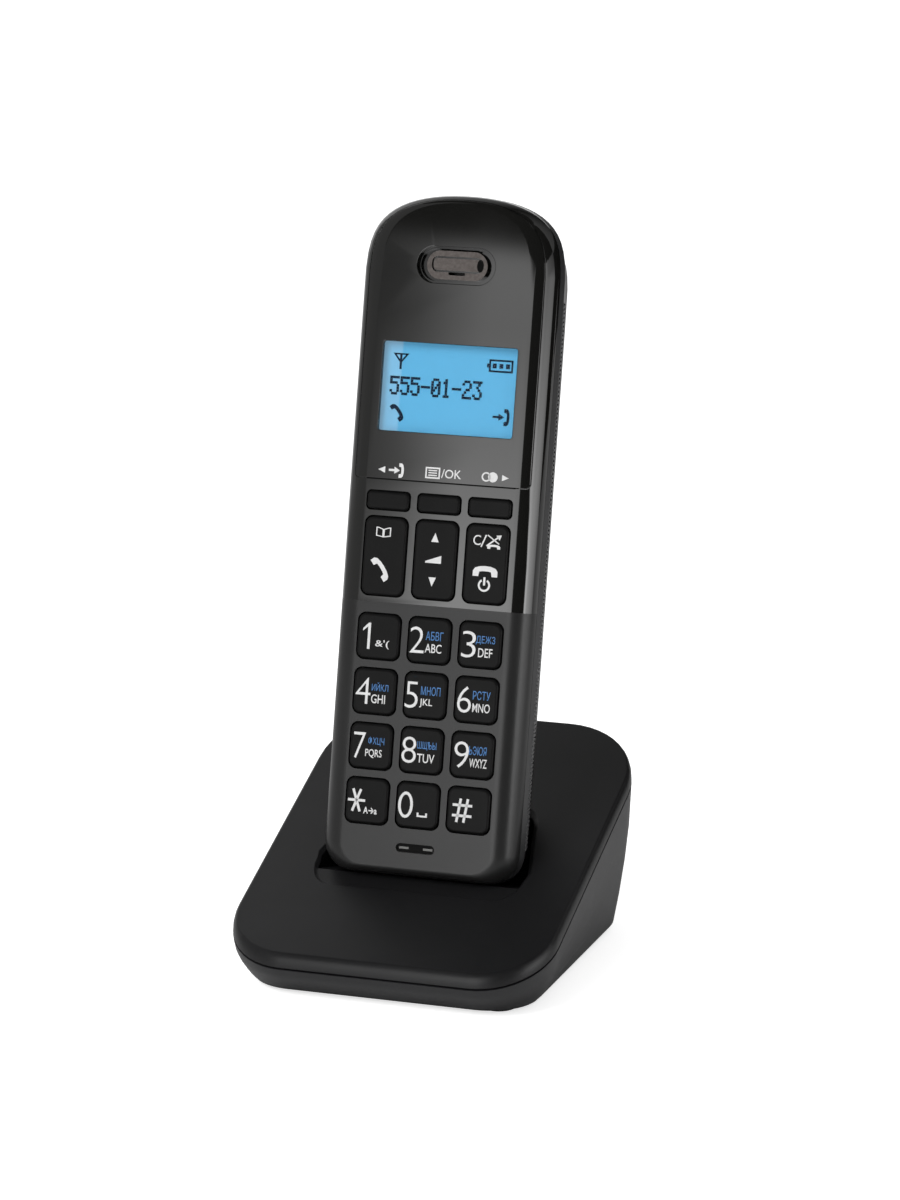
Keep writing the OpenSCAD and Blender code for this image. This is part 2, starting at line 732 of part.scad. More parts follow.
// Centres of all plungers, and so of all domes
function dome_places() = concat(
    [for (x = [-1:1], y = row_y) [x * key_pitch_x, y]],
    [for (x = [-1:1], y = [-1, 1]) [x * key_pitch_x, tall_y + y * (tall_open_h / 2 - 3.3)]],
    [for (x = [-1:1]) [x * key_pitch_x, soft_y]]);
mat_foot = row_y[3] - key_open_h / 2 - 0.2;
mat_crown = soft_y + soft_open_h / 2 + 0.6;

module keypad_mat() {
    color("#303032") on_handset() difference() {
        union() {
            slab(2 * board_half - 0.6, mat_crown - mat_foot, 2, (mat_foot + mat_crown) / 2, mat_top - mat_t, mat_top);
            for (x = [-0.5, 0.5], y = [row_y[0], row_y[1], row_y[2], row_y[3], tall_y, soft_y])
                translate([x * key_pitch_x, y, pcb_top + 0.05]) cylinder(r = 0.9, h = mat_top - pcb_top - 0.2);
        }
        for (p = dome_places()) translate([p[0], p[1], mat_top - mat_t - cut])
            cylinder(r = plunger_r + 0.4, h = mat_t + 2 * cut);
    }
}

module dome_sheet() {
    color("#c9ccd0") on_handset() for (p = dome_places()) translate([p[0], p[1], pcb_top + 0.02]) {
        cylinder(r = 2.4, h = 0.15);
        cylinder(r = 1.7, h = dome_h - 0.02);
    }
}

module handset_pcb() {
    color("#1f5a34") on_handset() difference() {
        slab(2 * board_half, board_crown - board_foot, 3, (board_foot + board_crown) / 2, pcb_top - pcb_t, pcb_top);
        for (p = screws_at) translate([p[0], p[1], pcb_top - pcb_t - cut]) cylinder(r = 2.7, h = pcb_t + 2 * cut);
    }
}
module handset_rf_shield() {
    color("#b9bcc0") on_handset() slab(24, 18, 1, window_y, pcb_top - pcb_t - 2.6, pcb_top - pcb_t - 0.05);
}
module microphone() {
    color("#2b2b2b") on_handset() translate([0, mic_y, pcb_top + 0.05]) {
        cylinder(r = 2.1, h = -web_t - 0.2 - pcb_top - 0.05);
    }
}

// ---------------------------------------------------------------- handset, rear

function rear_rings(wall, rise) = concat(
    [for (k = [round_steps + 1:-1:0]) let (p = rear_profile(wall)[k]) rear_ring(p[0], p[1], wall)],
    [rear_ring(seam_half, -seam_depth - seam_gap + rise, wall)]);

module grip_frame(side) {
    middle = wide_depth + grip_inset + grip_w / 2;
    mirror([side < 0 ? 1 : 0, 0, 0])
        translate([wide_half - (middle - wide_depth) * tan(grip_angle), 0, -middle])
        rotate([0, grip_angle, 0]) children();
}
module grip_channel() {
    translate([-grip_t - 0.1, grip_foot - 0.1, -grip_w / 2 - 0.1])
        cube([3, grip_top - grip_foot + 0.2, grip_w + 0.2]);
}

// Comb of fine ribs along each side
module grip_strips() {
    count = floor((grip_top - grip_foot) / grip_pitch);
    teeth = [for (k = [0:count - 1]) let (y = grip_foot + k * grip_pitch)
        each [[grip_proud - grip_tooth, y], [grip_proud, y + 0.18 * grip_pitch],
            [grip_proud, y + 0.52 * grip_pitch], [grip_proud - grip_tooth, y + 0.7 * grip_pitch]]];
    color("#5b5c5e") on_handset() for (side = [-1, 1]) grip_frame(side)
        translate([0, 0, -grip_w / 2]) linear_extrude(grip_w)
        polygon(concat([[-grip_t, grip_foot]], teeth, [[grip_proud - grip_tooth, grip_top], [-grip_t, grip_top]]));
}

module rear_case() {
    hook_x = bay_half - 1;
    color("#2f3032") on_handset() difference() {
        union() {
            difference() {
                ring_stack(rear_rings(0, 0));
                ring_stack(rear_rings(case_wall, cut));
            }
            intersection() {
                ring_stack(rear_rings(0.3, -0.3));
                union() {
                    slab(2 * (bay_half + bay_wall), bay_l + 2 * bay_wall, 1, bay_foot + bay_l / 2,
                        back_w, bay_roof + bay_wall);
                    slab(2 * cover_half + 3, cover_top + 3, 1, cover_top / 2, back_w, recess_w + 1.2);
                    for (p = screws_at) translate([p[0], p[1], back_w]) cylinder(r = 3.4, h = -back_w + boss_end - seat_gap);
                    for (x = [-10, 10], y = [bay_foot + 4, bay_foot + bay_l - 4])
                        translate([x, y, bay_roof]) cylinder(r = 1.4, h = pcb_top - pcb_t - 0.1 - bay_roof);
                }
            }
        }
        slab(2 * cover_half + 0.4, cover_top + 0.2 + cut, 2, (cover_top + 0.2 - cut) / 2, back_w - cut, recess_w);
        translate([-cover_half - 0.2, -cut, back_w - cut]) cube([2 * cover_half + 0.4, 5, recess_w - back_w + cut]);
        slab(2 * bay_half, bay_l, 0.8, bay_foot + bay_l / 2, recess_w + 1.2, bay_roof);
        slab(2 * hook_x, bay_l, 0.8, bay_foot + bay_l / 2, recess_w - cut, recess_w + 1.3);
        for (y = hook_y) slab(2 * bay_half - 0.2, hook_l + 0.6, 0.3, y - cover_travel + hook_l / 2,
            recess_w - cut, recess_w + 1.3);
        for (p = screws_at) translate([p[0], p[1], back_w - cut]) {
            cylinder(r = 2.4, h = cut + screw_seat - back_w);
            cylinder(r = 1.15, h = cut - back_w);
        }
        for (side = [-1, 1]) grip_frame(side) grip_channel();
        for (x = [-1, 1]) translate([x * contact_x, 0, contact_w]) {
            cube([5.2, 1, 4.2], center = true);
            cube([3.2, 12, 0.8], center = true);
        }
        for (ring = [0:2], k = [0:max(0, 6 * ring - 1)]) let (a = 60 * k / max(1, ring))
            translate([3 * ring * cos(a), ringer_y + 3 * ring * sin(a), back_w - cut]) cylinder(r = 0.8, h = 3 + cut);
    }
}
ringer_y = cover_top + 27;

module battery_cover() {
    color("#2f3032") on_handset() difference() {
        union() {
            slab(2 * cover_half, cover_top - cover_foot, 2, (cover_top + cover_foot) / 2, back_w, back_w + cover_t);
            for (y = hook_y, side = [-1, 1]) mirror([side < 0 ? 1 : 0, 0, 0]) {
                translate([bay_half - 2.2, y, back_w + cover_t - 0.1]) cube([1, hook_l, 3]);
                translate([bay_half - 2.2, y, recess_w + 1.4]) cube([1 + hook_reach + 0.2, hook_l, 0.9]);
            }
        }
        for (k = [0:4]) translate([-7, cover_top - 16 + 2.2 * k, back_w - cut]) cube([14, 1, cut + 0.4]);
    }
}

function cell_foot(side) = bay_foot + slip + plate_t + (side < 0 ? spring_l : nub_l);
module battery_cells() {
    color("#5d8f57") on_handset() for (side = [-1, 1])
        translate([side * cell_x, cell_foot(side), cell_w]) rotate([-90, 0, 0]) {
            cylinder(r = cell_d / 2, h = cell_l);
            translate([0, 0, side < 0 ? cell_l - 0.1 : -nub_l + 0.1]) cylinder(r = 1.9, h = nub_l - 0.1 + 0.1);
        }
}

// Tapering coil spring of round wire, as one swept tube
module coil(r0, r1, height, turns, wire) {
    sides = 6;
    steps = 12 * turns;
    ring_stack([for (k = [0:steps]) let (a = 360 * turns * k / steps, r = r0 + (r1 - r0) * k / steps)
        [for (j = [0:sides - 1]) let (b = -360 * j / sides)
            [(r + wire * cos(b)) * cos(a), (r + wire * cos(b)) * sin(a),
             wire + (height - 2 * wire) * k / steps + wire * sin(b)]]]);
}
module battery_springs() {
    reach = spring_l - 0.15;
    color("#c8c8cc") on_handset() {
        translate([-cell_x, bay_foot + slip + plate_t + 0.05, cell_w]) rotate([-90, 0, 0]) coil(3.4, 2.2, reach, 3, 0.35);
        translate([cell_x, bay_foot + bay_l - slip - plate_t - 0.05, cell_w]) rotate([90, 0, 0]) coil(3.4, 2.2, reach, 3, 0.35);
    }
}
module battery_plates() {
    color("#c8c8cc") on_handset() {
        translate([-cell_x - 4, bay_foot + slip, cell_w - 4]) cube([2 * cell_x + 8, plate_t, 8]);
        for (x = [-cell_x, cell_x])
            translate([x - 4, bay_foot + bay_l - slip - plate_t, cell_w - 4]) cube([8, plate_t, 8]);
    }
}

module ringer_speaker() {
    color("#26262a") on_handset() translate([0, ringer_y, back_w + case_wall + 0.15]) {
        cylinder(r = 9, h = 3.4);
        cylinder(r = 5, h = 4.6);
    }
}

module charge_terminals() {
    color("#d4c07a") on_handset() for (x = [-1, 1]) translate([x * contact_x, 0, contact_w]) {
        translate([-2.5, 0.02, -2]) cube([5, 0.43, 4]);
        translate([-1.5, 0.4, -0.25]) cube([3, 5.4, 0.5]);
    }
}

module handset_screws() {
    color("#9a9ca0") on_handset() for (p = screws_at) translate([p[0], p[1], screw_seat - 0.05]) difference() {
        union() {
            translate([0, 0, -1.4]) cylinder(r = 2.1, h = 1.4);
            cylinder(r = 1, h = boss_end + 4.6 - screw_seat);
        }
        for (a = [0, 90]) translate([0, 0, -1.4]) rotate([0, 0, a]) cube([2.4, 0.6, 1.4], center = true);
    }
}

base_top_cover();
base_bottom_case();
base_pcb();
base_rf_shield();
base_capacitors();
base_antenna();
contact_carrier();
charge_contact_left();
charge_contact_right();
line_jack();
line_jack_contacts();
power_jack();
power_jack_pin();
locator_button();
locator_switch();
base_feet();
base_screws();
front_case();
display_panel();
display_lens();
lcd_module();
lcd_backlight();
earpiece_insert();
earpiece_speaker();
keypad_mat();
key_1();
key_2();
key_3();
key_4();
key_5();
key_6();
key_7();
key_8();
key_9();
key_star();
key_0();
key_hash();
soft_key_left();
soft_key_middle();
soft_key_right();
talk_key();
navigator_key();
power_key();
handset_pcb();
handset_rf_shield();
dome_sheet();
microphone();
rear_case();
grip_strips();
battery_cover();
battery_cells();
battery_springs();
battery_plates();
ringer_speaker();
charge_terminals();
handset_screws();
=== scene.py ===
"""Looks for a cordless phone that stands in its charging base."""

import json
import math

import bmesh
import bpy
from bpy.props import FloatProperty, FloatVectorProperty, PointerProperty, StringProperty
from mathutils import Matrix, Vector


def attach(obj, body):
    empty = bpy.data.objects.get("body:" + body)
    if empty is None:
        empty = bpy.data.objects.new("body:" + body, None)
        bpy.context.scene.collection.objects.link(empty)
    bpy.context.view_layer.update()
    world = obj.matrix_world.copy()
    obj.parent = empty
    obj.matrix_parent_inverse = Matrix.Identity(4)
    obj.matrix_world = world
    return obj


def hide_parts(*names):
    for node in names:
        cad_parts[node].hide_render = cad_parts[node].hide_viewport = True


bl_info = {
    "name": "Cordless phone looks",
    "version": (1, 0, 0),
    "blender": (4, 5, 0),
    "location": "View3D > Sidebar > Phone",
    "description": "Dresses a packed cordless phone and its base, with prints, display and studio",
    "category": "Object",
}

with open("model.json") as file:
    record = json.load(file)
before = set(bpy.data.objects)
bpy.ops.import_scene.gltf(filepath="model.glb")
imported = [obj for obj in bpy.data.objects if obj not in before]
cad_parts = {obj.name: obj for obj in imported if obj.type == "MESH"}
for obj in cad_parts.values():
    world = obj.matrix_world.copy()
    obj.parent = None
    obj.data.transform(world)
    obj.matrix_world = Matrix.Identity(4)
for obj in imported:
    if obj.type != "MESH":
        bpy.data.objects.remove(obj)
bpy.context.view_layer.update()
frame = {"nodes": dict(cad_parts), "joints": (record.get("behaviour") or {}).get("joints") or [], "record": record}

MM = 0.001

# Slot of every node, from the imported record
SLOT_OF = {p["node"]: p["material_slot"] for p in frame["record"]["subparts"]}

# ------------------------------------------------------------------ handset axes

# u runs to the right across the face, v up along the handset from its foot, w out of the face
LIFT = next(j for j in frame["joints"] if j["name"] == "handset_lift")
UP = Vector(LIFT["axis"]).normalized()
RIGHT = Vector((1, 0, 0))
OUT = RIGHT.cross(UP)


def reach(node, axis):
    """Lowest and highest place of a node along an axis."""
    along = [v.co.dot(axis) for v in frame["nodes"][node].data.vertices]
    return min(along), max(along)


FACE = reach("display_panel", OUT)[1]
FOOT = reach("rear_case", UP)[0]
HAND = Matrix((RIGHT, UP, OUT)).transposed().to_4x4()
HAND.translation = OUT * FACE + UP * FOOT
TO_HAND = HAND.inverted()


def hand_box(node):
    """Extents of a node in handset axes, in millimetres: (low u, v, w), (high u, v, w)."""
    places = [TO_HAND @ v.co / MM for v in frame["nodes"][node].data.vertices]
    low = Vector([min(p[i] for p in places) for i in range(3)])
    high = Vector([max(p[i] for p in places) for i in range(3)])
    return low, high


# ------------------------------------------------------------------ colours and nodes


def linear(code):
    """Turn an sRGB hex value into linear red, green and blue."""
    channels = [int(code[i : i + 2], 16) / 255 for i in (0, 2, 4)]
    return tuple(c / 12.92 if c <= 0.04045 else ((c + 0.055) / 1.055) ** 2.4 for c in channels)


def add_node(owner, kind, inputs=None, **settings):
    """Add one node to a material or world; an input that is a node's output is linked."""
    node = owner.node_tree.nodes.new(kind)
    for name, value in settings.items():
        setattr(node, name, value)
    for socket, value in (inputs or {}).items():
        if isinstance(value, bpy.types.NodeSocket):
            owner.node_tree.links.new(value, node.inputs[socket])
        else:
            node.inputs[socket].default_value = value
    return node


def new_finish(name, colour, roughness, ior=1.5, **sockets):
    """Start a finish on one shader; what is the same all over is set on the shader itself."""
    material = bpy.data.materials.new(name)
    material.use_nodes = True
    material.node_tree.nodes.clear()
    plain = {"Base Color": (*colour, 1), "Roughness": roughness, "IOR": ior}
    plain.update({key.replace("_", " "): value for key, value in sockets.items()})
    shader = add_node(material, "ShaderNodeBsdfPrincipled", plain)
    add_node(material, "ShaderNodeOutputMaterial", {"Surface": shader.outputs["BSDF"]})
    return material, shader


# Size in millimetres of the patches in which a moulding's roughness drifts
FLOW_SIZE = 14


def noise(material, place, size, detail):
    """Noise in patches of that size in millimetres."""
    inputs = {"Vector": place, "Scale": 1 / (size * MM), "Detail": detail}
    return add_node(material, "ShaderNodeTexNoise", inputs).outputs["Fac"]


def moulded(material, shader, grain, depth, drift=0.0):
    """Give a moulding its spark texture and a slow drift of roughness; sizes in millimetres."""
    place = add_node(material, "ShaderNodeTexCoord").outputs["Object"]
    spark = noise(material, place, grain, 2.0)
    bump = add_node(material, "ShaderNodeBump", {"Height": spark, "Distance": depth * MM})
    material.node_tree.links.new(bump.outputs["Normal"], shader.inputs["Normal"])
    if drift:
        middle = shader.inputs["Roughness"].default_value
        flow = noise(material, place, FLOW_SIZE, 3.0)
        span = {"Value": flow, "To Min": middle - drift, "To Max": middle + drift}
        spread = add_node(material, "ShaderNodeMapRange", span)
        material.node_tree.links.new(spread.outputs["Result"], shader.inputs["Roughness"])
    return place


def tinted(material, shader, place, other, scale):
    """Let the colour drift towards another one in soft patches of that size in millimetres."""
    patches = noise(material, place, scale, 3.0)
    ramp = add_node(material, "ShaderNodeValToRGB", {"Fac": patches})
    ramp.color_ramp.elements[0].position = 0.35
    ramp.color_ramp.elements[1].position = 0.65
    ramp.color_ramp.elements[0].color = shader.inputs["Base Color"].default_value
    ramp.color_ramp.elements[1].color = (*other, 1)
    material.node_tree.links.new(ramp.outputs["Color"], shader.inputs["Base Color"])


# ------------------------------------------------------------------ finishes


def satin_black_abs(colour):
    """Injection-moulded ABS from a fine spark-eroded tool: near black, a soft even sheen."""
    material, shader = new_finish("satin_black_abs", colour, 0.38, 1.53, Specular_IOR_Level=0.26)
    place = moulded(material, shader, 0.3, 0.006, 0.04)
    tinted(material, shader, place, linear("19191a"), 40)
    return material


def satin_grey_abs(colour):
    """Moulded ABS of the lower case: the same texture, a little greyer and rougher."""
    material, shader = new_finish("satin_grey_abs", colour, 0.44, 1.53, Specular_IOR_Level=0.44)
    place = moulded(material, shader, 0.35, 0.008, 0.05)
    tinted(material, shader, place, linear("1c1c1e"), 40)
    return material


def polished_abs(colour):
    """ABS from a polished tool: deep gloss with the slight waviness of a thin wall."""
    material, shader = new_finish("polished_abs", colour, 0.05, 1.53)
    moulded(material, shader, 26, 0.004, 0.02)
    return material


def soft_touch_lacquer(colour):
    """Sprayed matt lacquer over the ABS shell: flat, velvety, with a fine spray grain."""
    material, shader = new_finish("soft_touch_lacquer", colour, 0.32, 1.5, Specular_IOR_Level=0.3)
    place = moulded(material, shader, 0.2, 0.004, 0.03)
    tinted(material, shader, place, tuple(1.15 * c for c in colour), 30)
    return material


def satin_rear_abs(colour):
    """Satin ABS of the handset's back: finger-worn to a slightly brighter sheen in patches."""
    material, shader = new_finish("satin_rear_abs", colour, 0.36, 1.53)
    place = moulded(material, shader, 0.3, 0.006, 0.06)
    tinted(material, shader, place, linear("2c2c2d"), 35)
    return material


def clear_acrylic(colour):
    """Clear cast acrylic lens: its anti-glare coat steps the index down, so it hardly reflects."""
    material, shader = new_finish("clear_acrylic", colour, 0.02, 1.12, Transmission_Weight=1.0)
    moulded(material, shader, 30, 0.001)
    return material


def blue_lcd(colour):
    """Positive LCD over a blue backlight; its glow is partly the backlight and partly painted light in place of
    the room light that the clear lens keeps off it, and it is paler in a narrow strip along its left edge.
    """
    material, shader = new_finish("blue_lcd", colour, 0.3, 1.52, Specular_IOR_Level=0.1)
    place = add_node(material, "ShaderNodeTexCoord").outputs["Object"]
    split = add_node(material, "ShaderNodeSeparateXYZ", {"Vector": place})
    # The glow is paler in a narrow strip along the left edge
    strip = {"From Min": -12.2 * MM, "From Max": -11.8 * MM}
    side = add_node(material, "ShaderNodeMapRange", {"Value": split.outputs["X"], **strip})
    ramp = add_node(material, "ShaderNodeValToRGB", {"Fac": side.outputs["Result"]})
    ramp.color_ramp.elements[0].color = (*linear("b4d2e6"), 1)
    ramp.color_ramp.elements[1].color = (*linear("62b2dc"), 1)
    material.node_tree.links.new(ramp.outputs["Color"], shader.inputs["Emission Color"])
    # Glow of the backlight, set strong enough to also paint in the room light that the lens holds back
    shader.inputs["Emission Strength"].default_value = 0.34
    return material


def lcd_ink(colour):
    """Twisted liquid crystal of a driven segment: dark navy that shades no edge."""
    material, shader = new_finish("lcd_ink", colour, 0.35, 1.5, Specular_IOR_Level=0.1)
    moulded(material, shader, 0.2, 0.001)
    return material


def milky_acrylic(colour):
    """Milky light guide behind the display, which spreads its edge light."""
    material, shader = new_finish("milky_acrylic", colour, 0.3, 1.49, Subsurface_Weight=0.3)
    moulded(material, shader, 0.6, 0.01, 0.05)
    return material


def fired_silicone(colour):
    """Black urethane-coated silicone key: soft sheen, very fine texture."""
    material, shader = new_finish("fired_silicone", colour, 0.42, 1.45, Specular_IOR_Level=0.1)
    place = moulded(material, shader, 0.22, 0.004, 0.04)
    tinted(material, shader, place, tuple(1.2 * c for c in colour), 9)
    return material


def natural_silicone(colour):
    """Plain silicone of the key mat: matt, slightly soft in the light."""
    material, shader = new_finish("natural_silicone", colour, 0.6, 1.43)
    place = moulded(material, shader, 0.5, 0.01, 0.05)
    tinted(material, shader, place, linear("3a3a3c"), 12)
    return material


def printed_ink(name, colour, gloss=0.5):
    """Pad-printed ink: matt, slightly uneven where the pad lifts; gloss is its specular level."""
    material, shader = new_finish(name, colour, 0.5, 1.5, Specular_IOR_Level=gloss)
    place = moulded(material, shader, 0.25, 0.003)
    tinted(material, shader, place, tuple(0.9 * c for c in colour), 1.5)
    return material


def painted_trim(colour):
    """Metallic paint over ABS on the earpiece: fine flake, brownish grey."""
    material, shader = new_finish("painted_trim", colour, 0.32, 1.5, Metallic=0.35)
    place = moulded(material, shader, 0.15, 0.004, 0.05)
    tinted(material, shader, place, linear("5c5653"), 0.6)
    return material


def solder_mask(colour):
    """Green solder mask over a glass-fibre board: the weave just shows in a lighter green."""
    material, shader = new_finish("solder_mask", colour, 0.35, 1.5)
    place = moulded(material, shader, 0.6, 0.01)
    weave = add_node(
        material,
        "ShaderNodeTexWave",
        {"Vector": place, "Scale": 1 / (2.5 * MM), "Distortion": 2.0},
    )
    ramp = add_node(material, "ShaderNodeValToRGB", {"Fac": weave.outputs["Fac"]})
    ramp.color_ramp.elements[0].color = (*linear("1c5230"), 1)
    ramp.color_ramp.elements[1].color = (*linear("2a6e40"), 1)
    material.node_tree.links.new(ramp.outputs["Color"], shader.inputs["Base Color"])
    return material


# Bare metals: colour, roughness, and the size and depth of their grain in millimetres
METALS = {
    # Tin-plated steel can: bright, faintly crystalline
    "tinned_steel": ("c4c6c9", 0.28, 0.8, 0.004),
    # Nickel under flash gold on the charge contacts: warm and smooth
    "flash_gold": ("d9bd77", 0.22, 0.4, 0.002),
    # Drawn brass pin with bright nickel: smooth, cool grey
    "nickel_pin": ("c9c9cc", 0.2, 0.3, 0.002),
    # Zinc-plated steel screw, clear passivated: dull bluish grey
    "zinc_screw": ("989ba0", 0.38, 0.3, 0.006),
    # Stainless dome foil: bright with a rolled grain
    "spring_dome": ("c8cacd", 0.3, 0.25, 0.003),
}


def metal(name):
    """A bare metal with its rolled or plated grain; metals keep the shader's own IOR."""
    code, roughness, grain, depth = METALS[name]
    colour = linear(code)
    material, shader = new_finish(name, colour, roughness, Metallic=1.0)
    place = moulded(material, shader, grain, depth, 0.05)
    tinted(material, shader, place, tuple(0.85 * c for c in colour), 4)
    return material


def plain_abs(name, colour, roughness=0.45):
    """Plain moulded part out of sight: even colour, light tool texture."""
    material, shader = new_finish(name, colour, roughness, 1.53)
    place = moulded(material, shader, 0.4, 0.008, 0.04)
    tinted(material, shader, place, tuple(0.88 * c for c in colour), 20)
    return material


def shrink_sleeve():
    """Shrunk PVC sleeve of a capacitor: glossy, dark, slightly rippled."""
    material, shader = new_finish("shrink_sleeve", linear("22252b"), 0.25, 1.54)
    moulded(material, shader, 3, 0.03, 0.05)
    return material


def foot_rubber():
    """Moulded EPDM foot: matt, fine pores."""
    material, shader = new_finish("foot_rubber", linear("141414"), 0.75, 1.5)
    moulded(material, shader, 0.4, 0.02, 0.05)
    return material


def ribbed_elastomer(colour):
    """Soft elastomer of the grips: matt, gripped smooth on the crests."""
    material, shader = new_finish("ribbed_elastomer", colour, 0.62, 1.48)
    place = moulded(material, shader, 0.3, 0.01, 0.06)
    tinted(material, shader, place, linear("626263"), 8)
    return material


def speaker_frame():
    """Pressed speaker basket with a doped paper cone."""
    material, shader = new_finish("speaker_frame", linear("252525"), 0.5, 1.5)
    moulded(material, shader, 0.5, 0.02, 0.05)
    return material


def cell_sleeve():
    """Printed PVC sleeve of a rechargeable cell: plain green, glossy, slightly rippled."""
    material, shader = new_finish("cell_sleeve", linear("4f8a4c"), 0.3, 1.54)
    place = moulded(material, shader, 4, 0.02, 0.04)
    tinted(material, shader, place, linear("5a9657"), 12)
    return material


def finishes(looks):
    """Every finish by the record's slot that it belongs to, and the inks and lacquer by name."""
    return {
        "base_shell": satin_black_abs(looks.base_colour),
        "base_lower": satin_grey_abs(looks.lower_colour),
        "circuit_board": solder_mask(linear("226039")),
        "shield_can": metal("tinned_steel"),
        "capacitor_sleeve": shrink_sleeve(),
        "plated_contact": metal("flash_gold"),
        "carrier_plastic": plain_abs("carrier_abs", linear("dcdbd4")),
        "socket_plastic": plain_abs("socket_abs", linear("101011"), 0.4),
        "plated_pin": metal("nickel_pin"),
        "button_plastic": plain_abs("button_abs", linear("3b3b3e"), 0.35),
        "switch_body": plain_abs("switch_abs", linear("80828a"), 0.5),
        "rubber_foot": foot_rubber(),
        "screw_steel": metal("zinc_screw"),
        "front_shell": polished_abs(looks.gloss_colour),
        "display_panel": polished_abs(looks.gloss_colour),
        "lens": clear_acrylic(linear("f4fbff")),
        "lcd": blue_lcd(looks.lcd_colour),
        "light_guide": milky_acrylic(linear("eef2f4")),
        "earpiece_trim": painted_trim(linear("4c4643")),
        "speaker": speaker_frame(),
        "key_rubber": fired_silicone(looks.key_colour),
        "key_carrier": natural_silicone(linear("303032")),
        "dome_steel": metal("spring_dome"),
        "rear_shell": satin_rear_abs(looks.rear_colour),
        "grip": ribbed_elastomer(linear("585859")),
        "cell_wrap": cell_sleeve(),
        "matt_lacquer": soft_touch_lacquer(looks.matt_colour),
        "white_ink": printed_ink("white_ink", looks.digit_colour),
        "blue_ink": printed_ink("blue_ink", looks.letter_colour),
        "black_ink": printed_ink("black_ink", linear("060606"), 0.08),
        "grey_ink": printed_ink("grey_ink", linear("6c6c6a")),
        "lcd_ink": lcd_ink(linear("101e33")),
    }


FINISH = {}


# ------------------------------------------------------------------ shaping helpers


# Distance in metres under which two corners are one, and angles in radians
SAME_PLACE = 2e-6
FLAT_ANGLE = math.radians(0.5)
EDGE_ANGLE = math.radians(25)
SMOOTH_ANGLE = math.radians(28)

# Radius of the rounded outer edges in millimetres, by node; the rest have EDGE_RADIUS
EDGE_RADIUS = 0.2
EDGE_RADII = {
    "base_top_cover": 0.35,
    "base_bottom_case": 0.3,
    "front_case": 0.16,
    "display_panel": 0.16,
    "rear_case": 0.25,
    "battery_cover": 0.25,
    "grip_strips": 0.1,
    "earpiece_insert": 0.1,
    "display_lens": 0.1,
}


def linked(name, data):
    """Make an object of its data and link it to the scene."""
    made = bpy.data.objects.new(name, data)
    bpy.context.scene.collection.objects.link(made)
    return made


def mesh_of(shape, name):
    """Write a shape into a new mesh and free it."""
    mesh = bpy.data.meshes.new(name)
    shape.to_mesh(mesh)
    shape.free()
    return mesh


def put(name, mesh, materials, body):
    """Make a piece of a mesh that is already in place, and let it ride on its body."""
    piece = linked(name, mesh)
    for material in materials:
        mesh.materials.append(material)
    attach(piece, body)
    return piece


def body_of(node):
    """The body that a node rides on."""
    bodies = frame["record"]["behaviour"]["bodies"]
    return next(body for body, members in bodies.items() if node in members)


def cut_across(shape, v):
    """Cut a shape's faces across the handset at a height v in millimetres."""
    geometry = [*shape.verts, *shape.edges, *shape.faces]
    place = HAND @ Vector((0, v * MM, 0))
    bmesh.ops.bisect_plane(shape, geom=geometry, plane_co=place, plane_no=UP)


def merged(node, rows=()):
    """A merged copy of a node's mesh; its flat faces are joined up, but stay cut at the rows."""
    shape = bmesh.new()
    shape.from_mesh(frame["nodes"][node].data)
    bmesh.ops.remove_doubles(shape, verts=shape.verts, dist=SAME_PLACE)
    bmesh.ops.dissolve_degenerate(shape, edges=shape.edges, dist=SAME_PLACE)
    for row in rows:
        cut_across(shape, row)
    if rows:
        for face in shape.faces:
            height = (TO_HAND @ face.calc_center_median()).y
            face.material_index = sum(row * MM < height for row in rows)
    bmesh.ops.dissolve_limit(
        shape,
        angle_limit=FLAT_ANGLE,
        verts=shape.verts,
        edges=shape.edges,
        delimit={"MATERIAL"} if rows else set(),
    )
    return shape


def rounded_edges(shape, radius, even):
    """Round every sharp outer edge; even keeps the full radius beside tiny edges too."""
    sharp = [
        edge
        for edge in shape.edges
        if len(edge.link_faces) == 2 and edge.calc_face_angle_signed(0) > EDGE_ANGLE
    ]
    bmesh.ops.bevel(
        shape,
        geom=sharp,
        offset=radius * MM,
        affect="EDGES",
        segments=2,
        profile=0.5,
        material=-1,
        clamp_overlap=not even,
        loop_slide=True,
    )


def dressed(node, materials=None, shape=None, even=False):
    """Stand a copy with rounded edges and smooth shading in for a node, in its own finish."""
    shape = shape or merged(node)
    rounded_edges(shape, EDGE_RADII.get(node, EDGE_RADIUS), even)
    mesh = mesh_of(shape, node + "_shape")
    slot = SLOT_OF[node]
    piece = put(node + "_dressed", mesh, materials or [FINISH[slot]], body_of(node))
    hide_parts(node)
    mesh.shade_smooth()
    mesh.set_sharp_from_angle(angle=SMOOTH_ANGLE)
    flat = piece.modifiers.new("flat_faces", "WEIGHTED_NORMAL")
    flat.mode = "FACE_AREA"
    flat.weight = 80
    flat.keep_sharp = True


# ------------------------------------------------------------------ flat prints

# Prints are drawn in millimetres; an outline inside another one is a hole
INK = 0.02
PRINT_LIFT = 0.005


def box_outline(u, v, width, height):
    """Corners of an upright rectangle about its centre."""
    corners = ((-1, -1), (1, -1), (1, 1), (-1, 1))
    return [(u + a * width / 2, v + b * height / 2) for a, b in corners]


def oval_outline(u, v, width, height, steps=24):
    """Points round an oval."""
    turns = [2 * math.pi * k / steps for k in range(steps)]
    return [(u + width / 2 * math.cos(t), v + height / 2 * math.sin(t)) for t in turns]


def ring_outlines(u, v, width, height, line):
    """An oval ring of that line width, as its outer and inner outline."""
    hole = oval_outline(u, v, width - 2 * line, height - 2 * line)
    return [oval_outline(u, v, width, height), hole]


def pill_outline(length, height, steps=12):
    """A slot with round ends, about its centre."""
    radius = height / 2
    turns = [math.pi * (k / steps - 0.5) for k in range(steps + 1)]
    middle = length / 2 - radius
    return [
        (side * (middle + radius * math.cos(t)), side * radius * math.sin(t))
        for side in (1, -1)
        for t in turns
    ]


